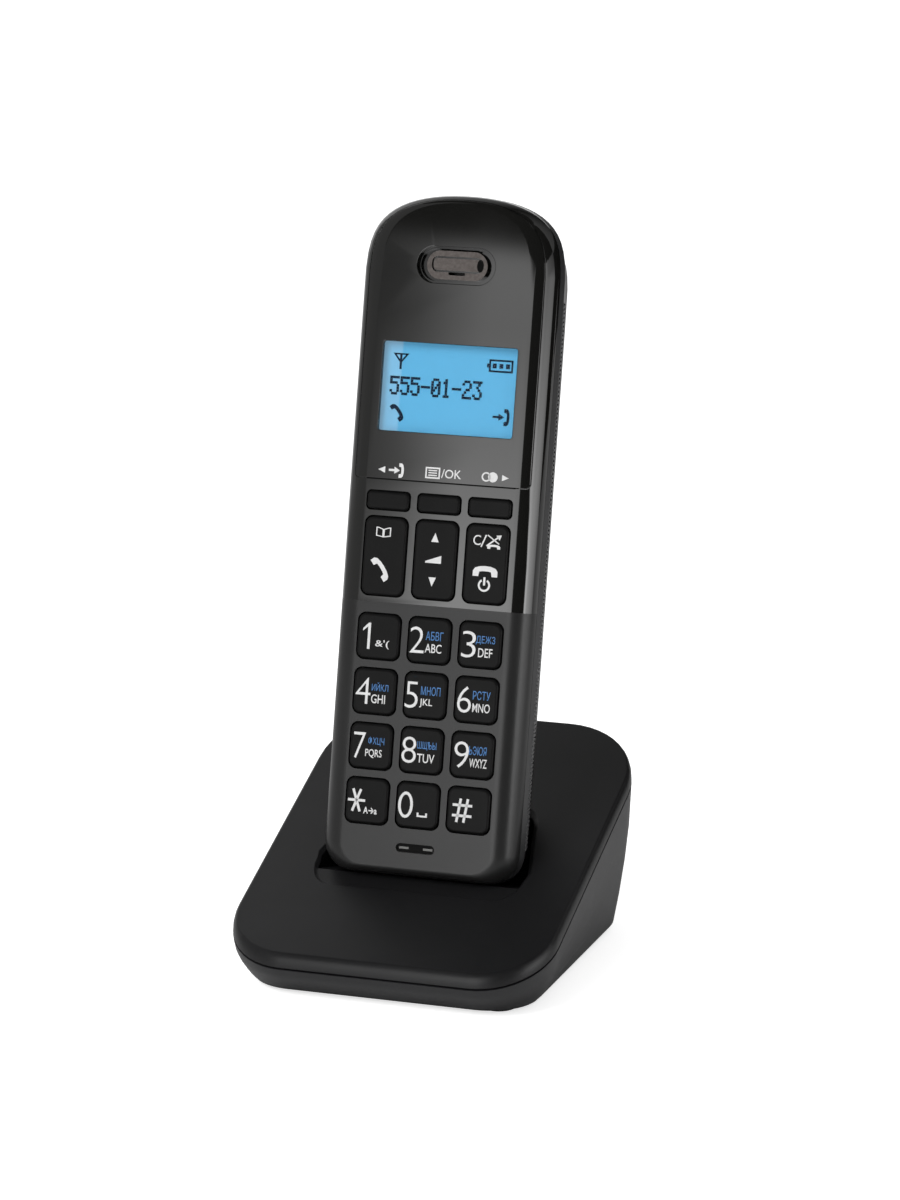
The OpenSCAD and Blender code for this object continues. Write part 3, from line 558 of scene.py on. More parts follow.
def frame_outlines(u, v, width, height, line):
    """A rectangular frame of that line width, as its outer and inner outline."""
    hole = box_outline(u, v, width - 2 * line, height - 2 * line)
    return [box_outline(u, v, width, height), hole]


def shaped(points, u, v, width, height, turn=0.0):
    """Scale an outline drawn in a unit square, turn it in degrees and place it."""
    cos, sin = math.cos(math.radians(turn)), math.sin(math.radians(turn))
    sized = [(a * width, b * height) for a, b in points]
    return [(u + a * cos - b * sin, v + a * sin + b * cos) for a, b in sized]


def bar_outline(u, v, length, line, turn):
    """A bar about its centre, turned in degrees."""
    return shaped(box_outline(0, 0, 1, 1), u, v, length, line, turn)


def arc_outline(u, v, width, line, first, last, steps=28):
    """An open ring of that line width between two turns in degrees."""
    turns = [math.radians(first + (last - first) * k / steps) for k in range(steps + 1)]
    outer = [(u + width / 2 * math.cos(t), v + width / 2 * math.sin(t)) for t in turns]
    hole = width / 2 - line
    return outer + [(u + hole * math.cos(t), v + hole * math.sin(t)) for t in reversed(turns)]


# Signs drawn in a unit square
TRIANGLE = [(-0.5, -0.5), (0.5, -0.5), (0, 0.5)]
ANTENNA = [(-0.5, 0.5), (0.5, 0.5), (0, -0.5)]
WEDGE = [(-0.5, -0.5), (0.5, -0.5), (0.5, 0.5), (-0.5, -0.28)]
PAGE = [(-0.5, -0.38), (-0.5, 0.5), (-0.1, 0.46), (0.5, 0.3), (0.5, -0.5), (-0.1, -0.42)]
ARROW = [(-0.5, -0.16), (0, -0.16), (0, -0.5), (0.5, 0), (0, 0.5), (0, 0.16), (-0.5, 0.16)]
TRAY = [
    *[(-0.5, -0.5), (0.5, -0.5), (0.5, 0.5), (0.32, 0.5)],
    *[(0.32, -0.1), (-0.32, -0.1), (-0.32, 0.5), (-0.5, 0.5)],
]
ONE = [
    *[(0.11, -0.5), (0.42, -0.5), (0.42, 0.5), (0.16, 0.5)],
    *[(-0.5, 0.28), (-0.5, 0.18), (0.11, 0.36)],
]
RECEIVER = [
    *[(-0.5, -0.5), (-0.5, 0.02), (-0.42, 0.3), (-0.22, 0.46), (0, 0.5)],
    *[(0.22, 0.46), (0.42, 0.3), (0.5, 0.02), (0.5, -0.5), (0.27, -0.5)],
    *[(0.24, -0.06), (0.12, 0), (-0.12, 0), (-0.24, -0.06), (-0.27, -0.5)],
]


def flat_mesh(outlines, place):
    """Fill outlines into one thin closed print and set it in place."""
    curve = bpy.data.curves.new("outline", "CURVE")
    curve.dimensions = "2D"
    curve.fill_mode = "BOTH"
    curve.extrude = INK / 2 * MM
    for points in outlines:
        spline = curve.splines.new("POLY")
        spline.points.add(len(points) - 1)
        spline.use_cyclic_u = True
        for point, (a, b) in zip(spline.points, points):
            point.co = (a * MM, b * MM, 0, 1)
    return curve_mesh(curve, Matrix.Identity(4), place)


def curve_mesh(curve, fit, place):
    """Turn a flat curve or text into a closed mesh, fit it, and set it in place on its surface."""
    holder = linked("holder", curve)
    evaluated = holder.evaluated_get(bpy.context.evaluated_depsgraph_get())
    mesh = bpy.data.meshes.new_from_object(evaluated)
    bpy.data.objects.remove(holder)
    bpy.data.curves.remove(curve)
    lift = Matrix.Translation((0, 0, (INK / 2 + PRINT_LIFT) * MM))
    mesh.transform(place @ lift @ fit)
    shape = bmesh.new()
    shape.from_mesh(mesh)
    bmesh.ops.remove_doubles(shape, verts=shape.verts, dist=1e-7)
    bmesh.ops.recalc_face_normals(shape, faces=shape.faces)
    shape.to_mesh(mesh)
    shape.free()
    return mesh


def word_mesh(text, u, v, width, height, weight, place):
    """Set a word to an exact width and height about a centre; weight thickens its strokes."""
    curve = bpy.data.curves.new("word", "FONT")
    curve.body = text
    curve.offset = weight
    curve.resolution_u = 4
    curve.extrude = 1.0
    probe = linked("probe", curve)
    bpy.context.view_layer.update()
    corners = [Vector(corner) for corner in probe.bound_box]
    bpy.data.objects.remove(probe)
    low = Vector([min(c[i] for c in corners) for i in range(3)])
    high = Vector([max(c[i] for c in corners) for i in range(3)])
    span = high - low
    scale = Matrix.Diagonal((width * MM / span.x, height * MM / span.y, INK / 2 * MM, 1))
    centre = Matrix.Translation(-(low + high) / 2)
    return curve_mesh(curve, Matrix.Translation((u * MM, v * MM, 0)) @ scale @ centre, place)


def printed(name, drawings, place, ink, body, slot, words=()):
    """Print drawings, each a list of outlines, and words on a surface as one piece."""
    meshes = [flat_mesh(outlines, place) for outlines in drawings]
    meshes += [word_mesh(*word, place) for word in words]
    shape = bmesh.new()
    for mesh in meshes:
        shape.from_mesh(mesh)
        bpy.data.meshes.remove(mesh)
    put(name, mesh_of(shape, name), [FINISH[ink]], body)


# ------------------------------------------------------------------ settings


def colour_setting(name, description, code):
    """A colour that the user may change; its default is an sRGB hex value."""
    return FloatVectorProperty(
        name=name, description=description, subtype="COLOR", default=linear(code)
    )


class PhoneLooks(bpy.types.PropertyGroup):
    """Colours and print of the phone."""

    base_colour: colour_setting("Base top", "Colour of the base's top cover", "151516")
    lower_colour: colour_setting("Base lower", "Colour of the base's lower case", "18181a")
    gloss_colour: colour_setting("Gloss face", "Colour of the polished face", "161615")
    matt_colour: colour_setting("Matt face", "Colour of the lacquered lower face", "212121")
    rear_colour: colour_setting("Back", "Colour of the handset's back", "262627")
    key_colour: colour_setting("Keys", "Colour of the keys", "131313")
    digit_colour: colour_setting("White print", "Ink of the digits and symbols", "dcdcdc")
    letter_colour: colour_setting("Blue print", "Ink of the second alphabet", "3f78b5")
    lcd_colour: colour_setting("Display", "Colour of the lit display", "5495b5")
    number: StringProperty(
        name="Number",
        description="Digits and hyphens on the display",
        default="555-01-23",
    )


class StudioSettings(bpy.types.PropertyGroup):
    """Camera and light levels."""

    lens: FloatProperty(name="Lens", description="Focal length", default=138.0, unit="CAMERA")
    azimuth: FloatProperty(
        name="Azimuth",
        description="Camera's place round the phone",
        subtype="ANGLE",
        default=math.radians(18.86),
    )
    elevation: FloatProperty(
        name="Elevation",
        description="Camera's height as an angle",
        subtype="ANGLE",
        default=math.radians(14.014),
    )
    distance: FloatProperty(
        name="Distance",
        description="Camera's distance from its target",
        unit="LENGTH",
        default=1.0553,
    )
    fill: FloatProperty(name="Fill", description="Diffuse level of the surroundings", default=0.62)
    key: FloatProperty(
        name="Key", description="Power of the key lamp", unit="POWER", default=9.0
    )


# ------------------------------------------------------------------ pieces


class PHONE_OT_inner_parts(bpy.types.Operator):
    """Give every part that keeps its own shape its finish."""

    bl_idname = "phone.inner_parts"
    bl_label = "Inner parts"

    def execute(self, context):
        for node, part in frame["nodes"].items():
            part.data.materials.clear()
            part.data.materials.append(FINISH[SLOT_OF[node]])
        return {"FINISHED"}


class PHONE_OT_base_shells(bpy.types.Operator):
    """Dress the base's two cases with rounded edges."""

    bl_idname = "phone.base_shells"
    bl_label = "Base shells"

    def execute(self, context):
        for node in ("base_top_cover", "base_bottom_case"):
            dressed(node)
        return {"FINISHED"}


class PHONE_OT_base_fittings(bpy.types.Operator):
    """Dress the feet, the locator button, the sockets and the contacts' carrier."""

    bl_idname = "phone.base_fittings"
    bl_label = "Base fittings"

    def execute(self, context):
        for node in ("base_feet", "locator_button", "line_jack", "power_jack", "contact_carrier"):
            dressed(node)
        return {"FINISHED"}


# Height of the line between the gloss and the lacquer, and one key of each row, bottom to top
GLOSS_LINE = 62.8
ROW_KEYS = ("key_star", "key_7", "key_4", "key_1", "talk_key", "soft_key_left")


class PHONE_OT_front_shell(bpy.types.Operator):
    """Dress the panel and the front case, gloss above and matt lacquer round the digit keys."""

    bl_idname = "phone.front_shell"
    bl_label = "Front shell"

    def execute(self, context):
        boxes = [hand_box(key) for key in ROW_KEYS]
        shape = merged("front_case", rows=[(low.y + high.y) / 2 for low, high in boxes])
        cut_across(shape, GLOSS_LINE)
        for face in shape.faces:
            below = (TO_HAND @ face.calc_center_median()).y < GLOSS_LINE * MM
            face.material_index = 1 if below else 0
        dressed("front_case", [FINISH["front_shell"], FINISH["matt_lacquer"]], shape)
        dressed("display_panel", even=True)
        return {"FINISHED"}


class PHONE_OT_rear_shell(bpy.types.Operator):
    """Dress the back, its battery cover and the grips."""

    bl_idname = "phone.rear_shell"
    bl_label = "Rear shell"

    def execute(self, context):
        for node in ("rear_case", "battery_cover", "grip_strips"):
            dressed(node)
        return {"FINISHED"}


# Depth under the face from which the earpiece's recess takes the gloss black, partly its black moulding and partly
# painted shade; and the black oval of painted shade at its end
EARPIECE_BLACK = -0.9
EARPIECE_SHADE_OVAL = oval_outline(5.572, 0.2, 1.612, 2.9)


class PHONE_OT_earpiece(bpy.types.Operator):
    """Dress the earpiece insert, painted above and gloss black in its depth, partly as painted shade; and paint
    the shade at the end of its bar as a black oval.
    """

    bl_idname = "phone.earpiece"
    bl_label = "Earpiece"

    def execute(self, context):
        shape = merged("earpiece_insert")
        # Faces deep in the recess take the gloss black, which also paints the recess's shade
        for face in shape.faces:
            deep = (TO_HAND @ face.calc_center_median()).z < EARPIECE_BLACK * MM
            face.material_index = 1 if deep else 0
        dressed("earpiece_insert", [FINISH["earpiece_trim"], FINISH["front_shell"]], shape)
        low, high = hand_box("earpiece_insert")
        place = HAND @ Matrix.Translation(Vector((0, (low.y + high.y) / 2, high.z)) * MM)
        # Painted shade: a black oval printed on the insert where the end of the bar lies in shadow
        hole = [[EARPIECE_SHADE_OVAL]]
        printed("earpiece_painted_shade", hole, place, "black_ink", "handset", "earpiece_trim")
        return {"FINISHED"}


# The microphone's recess: its height on the face and its depth, and the black pill of painted shade on its floor;
# and the two bars
MIC_V, MIC_DEPTH = 6.9, 0.7
MIC_SHADE_PILL = pill_outline(9.26, 1.96)
MIC_BARS = [[box_outline(u, 0, 2.3, 0.5)] for u in (-2.9, 2.9)]
BAR_LIFT = 0.03


class PHONE_OT_microphone_slot(bpy.types.Operator):
    """Paint the microphone recess's shade as a black pill on its floor, and set the two small bars in it."""

    bl_idname = "phone.microphone_slot"
    bl_label = "Microphone slot"

    def execute(self, context):
        place = HAND @ Matrix.Translation((0, MIC_V * MM, -MIC_DEPTH * MM))
        # Painted shade: black ink over the whole recess floor, darker than the shallow recess falls in shade by
        # itself
        printed("microphone_painted_shade", [[MIC_SHADE_PILL]], place, "black_ink", "handset", "front_shell")
        above = place @ Matrix.Translation((0, 0, BAR_LIFT * MM))
        printed("microphone_bars", MIC_BARS, above, "grey_ink", "handset", "front_shell")
        return {"FINISHED"}


KEYS = [
    *[f"key_{digit}" for digit in range(1, 10)],
    *["key_star", "key_0", "key_hash", "soft_key_left", "soft_key_middle", "soft_key_right"],
    *["talk_key", "navigator_key", "power_key"],
]


class PHONE_OT_keys(bpy.types.Operator):
    """Dress all the keys."""

    bl_idname = "phone.keys"
    bl_label = "Keys"

    def execute(self, context):
        for node in KEYS:
            dressed(node)
        return {"FINISHED"}


def key_print(node, drawings, words=(), ink="white_ink", ending="_print"):
    """Print on a key's crown, about its centre."""
    low, high = hand_box(node)
    middle = (low + high) / 2
    place = HAND @ Matrix.Translation(Vector((middle.x, middle.y, high.z)) * MM)
    printed(node + ending, drawings, place, ink, node, "key_rubber", words)


# Height of the digits, line of the nought and of the signs, and weight of the strokes
DIGIT_H, DIGIT_LINE, SIGN_LINE = 6.05, 0.66, 0.6
THIN, PLAIN, HEAVY, BOLD = -0.012, 0.0, 0.006, 0.024

# Place and height of the white letters and of the blue ones
WHITE_V, WHITE_H = -1.7, 2.05
BLUE_U, BLUE_V, BLUE_H = 1.35, 1.15, 2.0

# Each key's digit, white letters and blue letters: the text, its place across and its width
LETTERS = {
    "key_2": (("2", -2.83, 3.5), ("ABC", 1.2, 4.0), ("АБВГ", 4.2)),
    "key_3": (("3", -2.6, 3.4), ("DEF", 1.45, 3.4), ("ДЕЖЗ", 4.6)),
    "key_4": (("4", -2.7, 3.6), ("GHI", 1.05, 3.4), ("ИЙКЛ", 4.0)),
    "key_5": (("5", -3.2, 3.1), ("JKL", 0.35, 3.1), ("МНОП", 4.7)),
    "key_6": (("6", -2.75, 3.35), ("MNO", 1.4, 4.2), ("РСТУ", 4.2)),
    "key_7": (("7", -2.7, 2.9), ("PQRS", 0.85, 4.0), ("ФХЦЧ", 3.9)),
    "key_8": (("8", -2.9, 3.5), ("TUV", 1.25, 4.2), ("ШЩЪЫ", 4.6)),
    "key_9": (("9", -2.5, 3.5), ("WXYZ", 1.6, 4.2), ("ЬЭЮЯ", 4.2)),
}

# Drawings and words of the four digit keys without letters
DIGIT_SIGNS = {
    "key_1": (
        [[shaped(ONE, -2.75, 0, 2.0, DIGIT_H)]],
        [("&'(", 1.1, -1.75, 3.4, 2.0, HEAVY)],
    ),
    "key_0": (
        [
            ring_outlines(-2.8, 0, 3.6, DIGIT_H, DIGIT_LINE),
            [shaped(TRAY, 1.3, -2.05, 2.5, 1.0)],
        ],
        [],
    ),
    "key_star": (
        [
            [bar_outline(-2.45, 0, 4.2, SIGN_LINE, 0)],
            [bar_outline(-2.45, 0, 5.5, SIGN_LINE, 70)],
            [bar_outline(-2.45, 0, 5.5, SIGN_LINE, 110)],
        ],
        [("A→a", 1.0, -2.15, 3.3, 1.6, BOLD)],
    ),
    "key_hash": (
        [
            *[[bar_outline(-1.4, v, 4.7, SIGN_LINE, 0)] for v in (-1.3, 1.1)],
            *[[bar_outline(u, -0.1, 5.5, SIGN_LINE, 82)] for u in (-2.25, -0.55)],
        ],
        [],
    ),
}


class PHONE_OT_digit_print(bpy.types.Operator):
    """Print the digits and both alphabets on the digit keys."""

    bl_idname = "phone.digit_print"
    bl_label = "Digit print"

    def execute(self, context):
        for node, ((digit, left, wide), (white, at, span), (blue, length)) in LETTERS.items():
            words = [
                (digit, left, 0, wide, DIGIT_H, THIN),
                (white, at, WHITE_V, span, WHITE_H, HEAVY),
            ]
            key_print(node, [], words)
            words = [(blue, BLUE_U, BLUE_V, length, BLUE_H, PLAIN)]
            key_print(node, [], words, "blue_ink", "_letters")
        for node, (drawings, words) in DIGIT_SIGNS.items():
            key_print(node, drawings, words)
        return {"FINISHED"}


# An open book over a receiver
TALK_SIGNS = [
    [shaped(PAGE, -1.35, 5.5, 1.8, 2.4), shaped(PAGE, -1.35, 5.5, 1.28, 1.88)],
    [shaped(PAGE, 0.45, 5.5, -1.8, 2.4), shaped(PAGE, 0.45, 5.5, -1.28, 1.88)],
    [shaped(RECEIVER, -0.55, -2.9, 6.0, 2.0, -54)],
]
# Up, volume wedge and down
NAVIGATOR_SIGNS = [
    [shaped(TRIANGLE, -0.2, 5.2, 1.8, 2.1)],
    [shaped(WEDGE, -0.3, 0.2, 3.8, 1.8)],
    [shaped(TRIANGLE, -0.25, -5.0, 1.8, 2.1, 180)],
]
# A slash, a crossed-out bell arrow with its receiver, and a receiver over the power sign
POWER_SIGNS = [
    [bar_outline(-0.8, 5.3, 3.0, 0.32, 68)],
    [bar_outline(1.35, 5.3, 3.6, 0.36, 38)],
    [shaped(TRIANGLE, 3.0, 6.5, 1.4, 1.1, -52)],
    [bar_outline(1.5, 5.75, 3.4, 0.26, -34)],
    [shaped(RECEIVER, 1.7, 4.1, 3.1, 1.0)],
    [shaped(RECEIVER, 0.05, -1.6, 5.9, 2.4)],
    [arc_outline(0, -4.8, 2.95, 0.45, 120, 420)],
    [box_outline(0, -3.9, 0.5, 1.9)],
]
POWER_WORDS = [("C", -2.4, 5.4, 1.8, 2.3, PLAIN)]


class PHONE_OT_symbol_print(bpy.types.Operator):
    """Print the call, navigation and power symbols on the tall keys."""

    bl_idname = "phone.symbol_print"
    bl_label = "Symbol print"

    def execute(self, context):
        key_print("talk_key", TALK_SIGNS)
        key_print("navigator_key", NAVIGATOR_SIGNS)
        key_print("power_key", POWER_SIGNS, POWER_WORDS)
        return {"FINISHED"}


# Height of the panel's symbols; left, menu and right, above the three narrow keys
LEGEND_V = 93.2
LEGEND_SIGNS = [
    [shaped(TRIANGLE, -14.5, 0, 1.5, 1.7, 90)],
    [shaped(ARROW, -11.4, 0, 2.7, 1.6)],
    [shaped(RECEIVER, -9.7, 0, 3.3, 1.2, -90)],
    frame_outlines(-2.1, 0, 3.55, 2.6, 0.35),
    *[[box_outline(-2.1, v, 2.1, 0.26)] for v in (-0.55, 0, 0.55)],
    ring_outlines(10.8, 0, 2.2, 2.2, 0.35),
    [oval_outline(12.4, 0, 2.3, 2.3)],
    [shaped(TRIANGLE, 15.4, 0, 1.4, 1.6, -90)],
]
LEGEND_WORDS = [("/OK", 2.4, 0, 4.8, 2.0, HEAVY)]

# The dark line under the panel: how far below it, how far short of its ends, and its width
FOOT_LINE_DROP, FOOT_LINE_SHORT, FOOT_LINE_WIDTH = 0.1, 6.4, 0.32


class PHONE_OT_panel_print(bpy.types.Operator):
    """Print the symbols on the panel's lower border, and the dark line along its foot."""

    bl_idname = "phone.panel_print"
    bl_label = "Panel print"

    def execute(self, context):
        place = HAND @ Matrix.Translation((0, LEGEND_V * MM, 0))
        where = ("handset", "display_panel")
        printed("panel_print", LEGEND_SIGNS, place, "white_ink", *where, LEGEND_WORDS)
        low, high = hand_box("display_panel")
        length = high.x - low.x - FOOT_LINE_SHORT
        line = [[box_outline(0, low.y - FOOT_LINE_DROP, length, FOOT_LINE_WIDTH)]]
        printed("panel_foot_line", line, HAND, "black_ink", "handset", "front_shell")
        return {"FINISHED"}


# Five columns by seven rows for each character of the display
DOTS = {
    "0": ("01110", "10001", "10011", "10101", "11001", "10001", "01110"),
    "1": ("00100", "01100", "00100", "00100", "00100", "00100", "01110"),
    "2": ("01110", "10001", "00001", "00110", "01000", "10000", "11111"),
    "3": ("11111", "00010", "00100", "00010", "00001", "10001", "01110"),
    "4": ("00010", "00110", "01010", "10010", "11111", "00010", "00010"),
    "5": ("11111", "10000", "11110", "00001", "00001", "10001", "01110"),
    "6": ("00110", "01000", "10000", "11110", "10001", "10001", "01110"),
    "7": ("11111", "00001", "00010", "00100", "01000", "01000", "01000"),
    "8": ("01110", "10001", "10001", "01110", "10001", "10001", "01110"),
    "9": ("01110", "10001", "10001", "01111", "00001", "00010", "01100"),
    "-": ("00000", "00000", "00000", "11111", "00000", "00000", "00000"),
}

# Pitch of the dots, how far a run of them spreads and how much of its row it fills
DOT_U, DOT_V = 0.418, 0.62
RUN_SPREAD, ROW_SHARE = 0.22, 0.96
TEXT_U, TEXT_V = -14.3, 0.2

# Reception, battery, receiver, and an arrow to a receiver
DISPLAY_SIGNS = [
    [shaped(ANTENNA, -12.3, 6.45, 3.9, 2.4), shaped(ANTENNA, -12.3, 6.6, 2.3, 1.4)],
    [box_outline(-12.3, 5.8, 0.55, 3.7)],
    frame_outlines(11.9, 6.1, 5.8, 2.95, 0.45),
    [box_outline(8.75, 6.1, 0.5, 0.9)],
    *[[box_outline(u, 6.1, 0.95, 1.1)] for u in (10.35, 11.95, 13.55)],
    [shaped(RECEIVER, -12.3, -5.9, 4.4, 1.7, -52)],
    [shaped(ARROW, 12.1, -5.5, 2.8, 1.65)],
    [shaped(RECEIVER, 14.1, -5.5, 3.9, 1.35, -90)],
]


def lit_runs(line):
    """Start and length of every unbroken run of lit dots in one row."""
    runs, start = [], None
    for column, lit in enumerate(line + "0"):
        if lit == "1" and start is None:
            start = column
        elif lit == "0" and start is not None:
            runs.append((start, column - start))
            start = None
    return runs


class PHONE_OT_display(bpy.types.Operator):
    """Show the number and the status symbols on the lit display, under its clear lens."""

    bl_idname = "phone.display"
    bl_label = "Display"

    def execute(self, context):
        looks = context.scene.phone_looks
        low, high = hand_box("lcd_module")
        window = reach("display_lens", UP)
        middle = Vector(((low.x + high.x) / 2, (sum(window) / 2 - FOOT) / MM, high.z))
        place = HAND @ Matrix.Translation(middle * MM)
        dots = []
        for index, character in enumerate(looks.number):
            for row, line in enumerate(DOTS[character]):
                for start, length in lit_runs(line):
                    u = TEXT_U + (6 * index + start + (length - 1) / 2) * DOT_U
                    v = TEXT_V + (3 - row) * DOT_V
                    run = length * DOT_U + RUN_SPREAD
                    dots.append(box_outline(u, v, run, DOT_V * ROW_SHARE))
        drawings = [dots, *DISPLAY_SIGNS]
        printed("display_segments", drawings, place, "lcd_ink", "handset", "lcd")
        dressed("display_lens")
        return {"FINISHED"}


# ------------------------------------------------------------------ studio


def card_material(name, level, across=None, upward=None):
    """Light or dark card; stops across and upward are (place, share of the level)."""
    material = bpy.data.materials.new(name)
    material.use_nodes = True
    material.node_tree.nodes.clear()
    glow = add_node(material, "ShaderNodeEmission", {"Color": (1, 1, 1, 1), "Strength": level})
    add_node(material, "ShaderNodeOutputMaterial", {"Surface": glow.outputs["Emission"]})
    strength = level
    for stops, output in ((across, "X"), (upward, "Y")):
        if stops:
            place = add_node(material, "ShaderNodeUVMap", uv_map="UVMap")
            split = add_node(material, "ShaderNodeSeparateXYZ", {"Vector": place.outputs["UV"]})
            ramp = add_node(material, "ShaderNodeValToRGB", {"Fac": split.outputs[output]})
            while len(ramp.color_ramp.elements) < len(stops):
                ramp.color_ramp.elements.new(0.5)
            for element, (at, share) in zip(ramp.color_ramp.elements, stops):
                element.position = at
                element.color = (share, share, share, 1)
            shared = {0: ramp.outputs["Color"], 1: strength}
            scaled = add_node(material, "ShaderNodeMath", shared, operation="MULTIPLY")
            strength = scaled.outputs["Value"]
            material.node_tree.links.new(strength, glow.inputs["Strength"])
    return material


# Cards stand at this distance in metres from the phone's middle
CARD_RADIUS = 0.62
CARD_CENTRE = Vector((0, 0, 0.09))


def way_out(azimuth, elevation):
    """Direction from the phone: azimuth round from its front, elevation above the floor."""
    flat = math.cos(elevation)
    return Vector((math.sin(azimuth) * flat, -math.cos(azimuth) * flat, math.sin(elevation)))


def studio_card(name, azimuths, elevations, material):
    """Curved card round the phone that only reflections see; angles in degrees."""
    shape = bmesh.new()
    shape.loops.layers.uv.new("UVMap")
    bmesh.ops.create_grid(shape, x_segments=24, y_segments=12, size=0.5, calc_uvs=True)
    for vertex in shape.verts:
        azimuth = azimuths[0] + (vertex.co.x + 0.5) * (azimuths[1] - azimuths[0])
        elevation = elevations[0] + (vertex.co.y + 0.5) * (elevations[1] - elevations[0])
        way = way_out(math.radians(azimuth), math.radians(elevation))
        vertex.co = CARD_CENTRE + CARD_RADIUS * way
    mesh = mesh_of(shape, name)
    mesh.materials.append(material)
    card = linked(name, mesh)
    for ray in ("camera", "diffuse", "transmission", "volume_scatter", "shadow"):
        setattr(card, "visible_" + ray, False)


# The graded box: its sides in degrees, and its stops as (angle, share of the level)
WEST, EAST, LOW, HIGH = -26.0, 8.0, -8.0, 23.0
GRADED_ACROSS = [
    *[(-26.0, 0.12), (-22.2, 0.16), (-20.7, 0.34), (-19.2, 0.75)],
    *[(-18.2, 1.0), (4.0, 0.95), (8.0, 0.0)],
]
GRADED_UPWARD = [(9.4, 1.0), (13.0, 0.72), (18.8, 0.47), (21.2, 0.52), (21.6, 0.15), (21.9, 0.0)]

# The other graded cards: stops as (share of the width or height, share of the level)
REAR_ACROSS = [(0.0, 0.5), (0.35, 0.12), (0.5, 0.0), (0.7, 0.3), (1.0, 1.0)]
SIDE_ACROSS = [(0.0, 0.0), (0.08, 1.0), (0.3, 0.6), (1.0, 0.2)]
SIDE_UPWARD = [(0.0, 1.0), (0.35, 1.0), (0.7, 0.32), (1.0, 0.22)]

# Camera and lamp, in metres
TARGET = Vector((0.0031, 0, 0.08478))
LAMP_PLACE = Vector((-0.45, -0.75, 1.0))
LAMP_TARGET = Vector((0, 0, 0.07))
LAMP_SIZE = 0.7
FLOOR_SIZE = 6
FLOOR_LIFT = 0.7


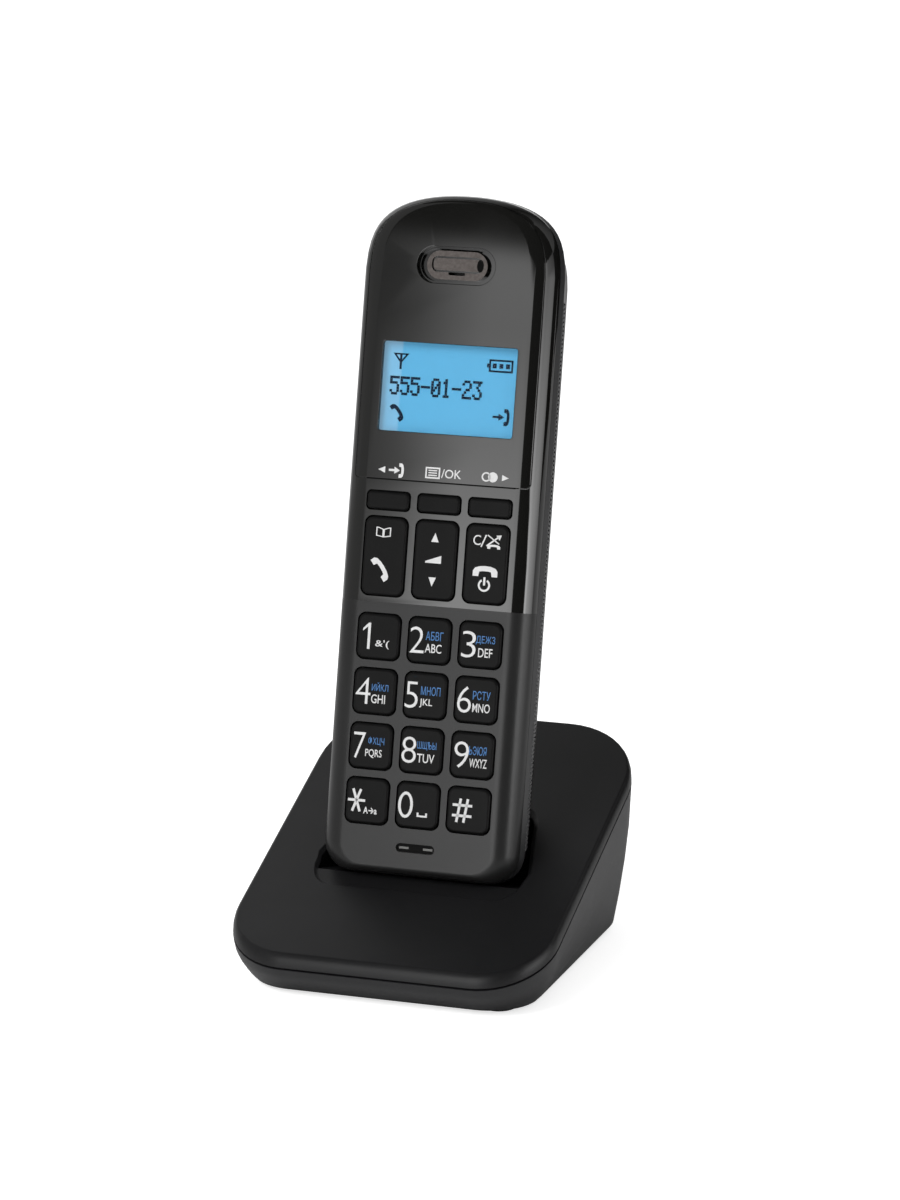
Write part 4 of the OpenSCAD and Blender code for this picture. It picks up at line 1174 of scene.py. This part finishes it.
class PHONE_OT_studio(bpy.types.Operator):
    """Set up the camera, the floor, the light and the cards."""

    bl_idname = "phone.studio"
    bl_label = "Studio"

    def execute(self, context):
        studio = context.scene.phone_studio
        self.camera(context.scene, studio)
        self.floor()
        self.world(context.scene, studio)
        self.lamp(studio)
        self.cards()
        context.scene.view_settings.view_transform = "Standard"
        return {"FINISHED"}

    def camera(self, scene, studio):
        """Place the camera at its angle round the phone."""
        camera = linked("camera", bpy.data.cameras.new("camera"))
        camera.data.lens = studio.lens
        camera.data.sensor_width = 36
        back = way_out(studio.azimuth, studio.elevation)
        camera.location = TARGET + back * studio.distance
        camera.rotation_mode = "QUATERNION"
        camera.rotation_quaternion = (-back).to_track_quat("-Z", "Y")
        scene.camera = camera

    def floor(self):
        """White sweep that keeps the phone's shadow."""
        shape = bmesh.new()
        bmesh.ops.create_grid(shape, x_segments=1, y_segments=1, size=FLOOR_SIZE)
        mesh = mesh_of(shape, "floor")
        floor = linked("floor", mesh)
        material = bpy.data.materials.new("white_sweep")
        material.use_nodes = True
        material.node_tree.nodes.clear()
        paper = add_node(material, "ShaderNodeBsdfDiffuse", {"Color": (0.8, 0.8, 0.8, 1)})
        lift = add_node(
            material, "ShaderNodeEmission", {"Color": (1, 1, 1, 1), "Strength": FLOOR_LIFT}
        )
        bare = paper.outputs["BSDF"]
        both = add_node(material, "ShaderNodeAddShader", {0: bare, 1: lift.outputs["Emission"]})
        rays = add_node(material, "ShaderNodeLightPath")
        parts = {"Fac": rays.outputs["Is Camera Ray"], 1: bare, 2: both.outputs["Shader"]}
        seen = add_node(material, "ShaderNodeMixShader", parts)
        add_node(material, "ShaderNodeOutputMaterial", {"Surface": seen.outputs["Shader"]})
        mesh.materials.append(material)

    def world(self, scene, studio):
        """White surroundings for the camera, gloss and glass; a plain level for the rest."""
        world = bpy.data.worlds.new("studio")
        scene.world = world
        world.use_nodes = True
        world.node_tree.nodes.clear()
        rays = add_node(world, "ShaderNodeLightPath").outputs
        white = rays["Is Camera Ray"]
        for kind in ("Is Glossy Ray", "Is Transmission Ray"):
            both = {0: white, 1: rays[kind]}
            white = add_node(world, "ShaderNodeMath", both, operation="MAXIMUM").outputs["Value"]
        level = add_node(
            world, "ShaderNodeMapRange", {"Value": white, "To Min": studio.fill, "To Max": 1.0}
        )
        sky = add_node(
            world,
            "ShaderNodeBackground",
            {"Color": (1, 1, 1, 1), "Strength": level.outputs["Result"]},
        )
        add_node(world, "ShaderNodeOutputWorld", {"Surface": sky.outputs["Background"]})

    def lamp(self, studio):
        """One large soft key lamp above and to the left, out of the reflections."""
        lamp = bpy.data.lights.new("key_lamp", "AREA")
        lamp.shape = "DISK"
        lamp.size = LAMP_SIZE
        lamp.energy = studio.key
        holder = linked("key_lamp", lamp)
        holder.location = LAMP_PLACE
        holder.rotation_mode = "QUATERNION"
        holder.rotation_quaternion = (LAMP_TARGET - LAMP_PLACE).to_track_quat("-Z", "Y")
        holder.visible_glossy = False

    def cards(self):
        """Cards that shape the gloss: a graded box, dark flags and a bright side box."""
        across = [((at - WEST) / (EAST - WEST), share) for at, share in GRADED_ACROSS]
        upward = [((at - LOW) / (HIGH - LOW), share) for at, share in GRADED_UPWARD]
        graded = card_material("graded_box", 4.9, across, upward)
        left = card_material("left_card", 0.42)
        rear = card_material("rear_card", 1.2, REAR_ACROSS)
        side = card_material("side_box", 8.5, SIDE_ACROSS, SIDE_UPWARD)
        black = card_material("black_flag", 0.0)
        for card in (
            ("graded_box", (WEST, EAST), (LOW, HIGH), graded),
            ("left_card", (-120, WEST), (-8, 60), left),
            ("upper_flag", (WEST, EAST), (HIGH, 60), black),
            ("front_flag", (EAST, 63), (-8, 60), black),
            ("top_flag", (-180, 180), (60, 90), black),
            ("low_rear_flag", (110, 170), (-4, 20), black),
            ("rear_card", (110, 240), (20, 60), rear),
            ("side_box", (63, 110), (-8, 22), side),
            ("side_flag", (63, 110), (22, 60), black),
        ):
            studio_card(*card)


# ------------------------------------------------------------------ add-on


class PHONE_PT_panel(bpy.types.Panel):
    """Steps and settings of the phone's looks."""

    bl_label = "Phone"
    bl_space_type = "VIEW_3D"
    bl_region_type = "UI"
    bl_category = "Phone"

    def draw(self, context):
        for step in STEPS:
            self.layout.operator(step.bl_idname)
        for settings in (context.scene.phone_looks, context.scene.phone_studio):
            box = self.layout.box()
            for name in settings.bl_rna.properties.keys():
                if name not in ("rna_type", "name"):
                    box.prop(settings, name)


STEPS = (
    PHONE_OT_inner_parts,
    PHONE_OT_base_shells,
    PHONE_OT_base_fittings,
    PHONE_OT_front_shell,
    PHONE_OT_rear_shell,
    PHONE_OT_earpiece,
    PHONE_OT_microphone_slot,
    PHONE_OT_keys,
    PHONE_OT_digit_print,
    PHONE_OT_symbol_print,
    PHONE_OT_panel_print,
    PHONE_OT_display,
    PHONE_OT_studio,
)
CLASSES = (PhoneLooks, StudioSettings, *STEPS, PHONE_PT_panel)


def register():
    """Register the settings, the steps and the panel."""
    for item in CLASSES:
        bpy.utils.register_class(item)
    bpy.types.Scene.phone_looks = PointerProperty(type=PhoneLooks)
    bpy.types.Scene.phone_studio = PointerProperty(type=StudioSettings)


def unregister():
    """Take the settings, the steps and the panel away again."""
    del bpy.types.Scene.phone_studio
    del bpy.types.Scene.phone_looks
    for item in reversed(CLASSES):
        bpy.utils.unregister_class(item)


def main():
    """Run every step in order."""
    register()
    FINISH.update(finishes(bpy.context.scene.phone_looks))
    for step in STEPS:
        group, name = step.bl_idname.split(".")
        getattr(getattr(bpy.ops, group), name)()


if __name__ == "__main__":
    main()
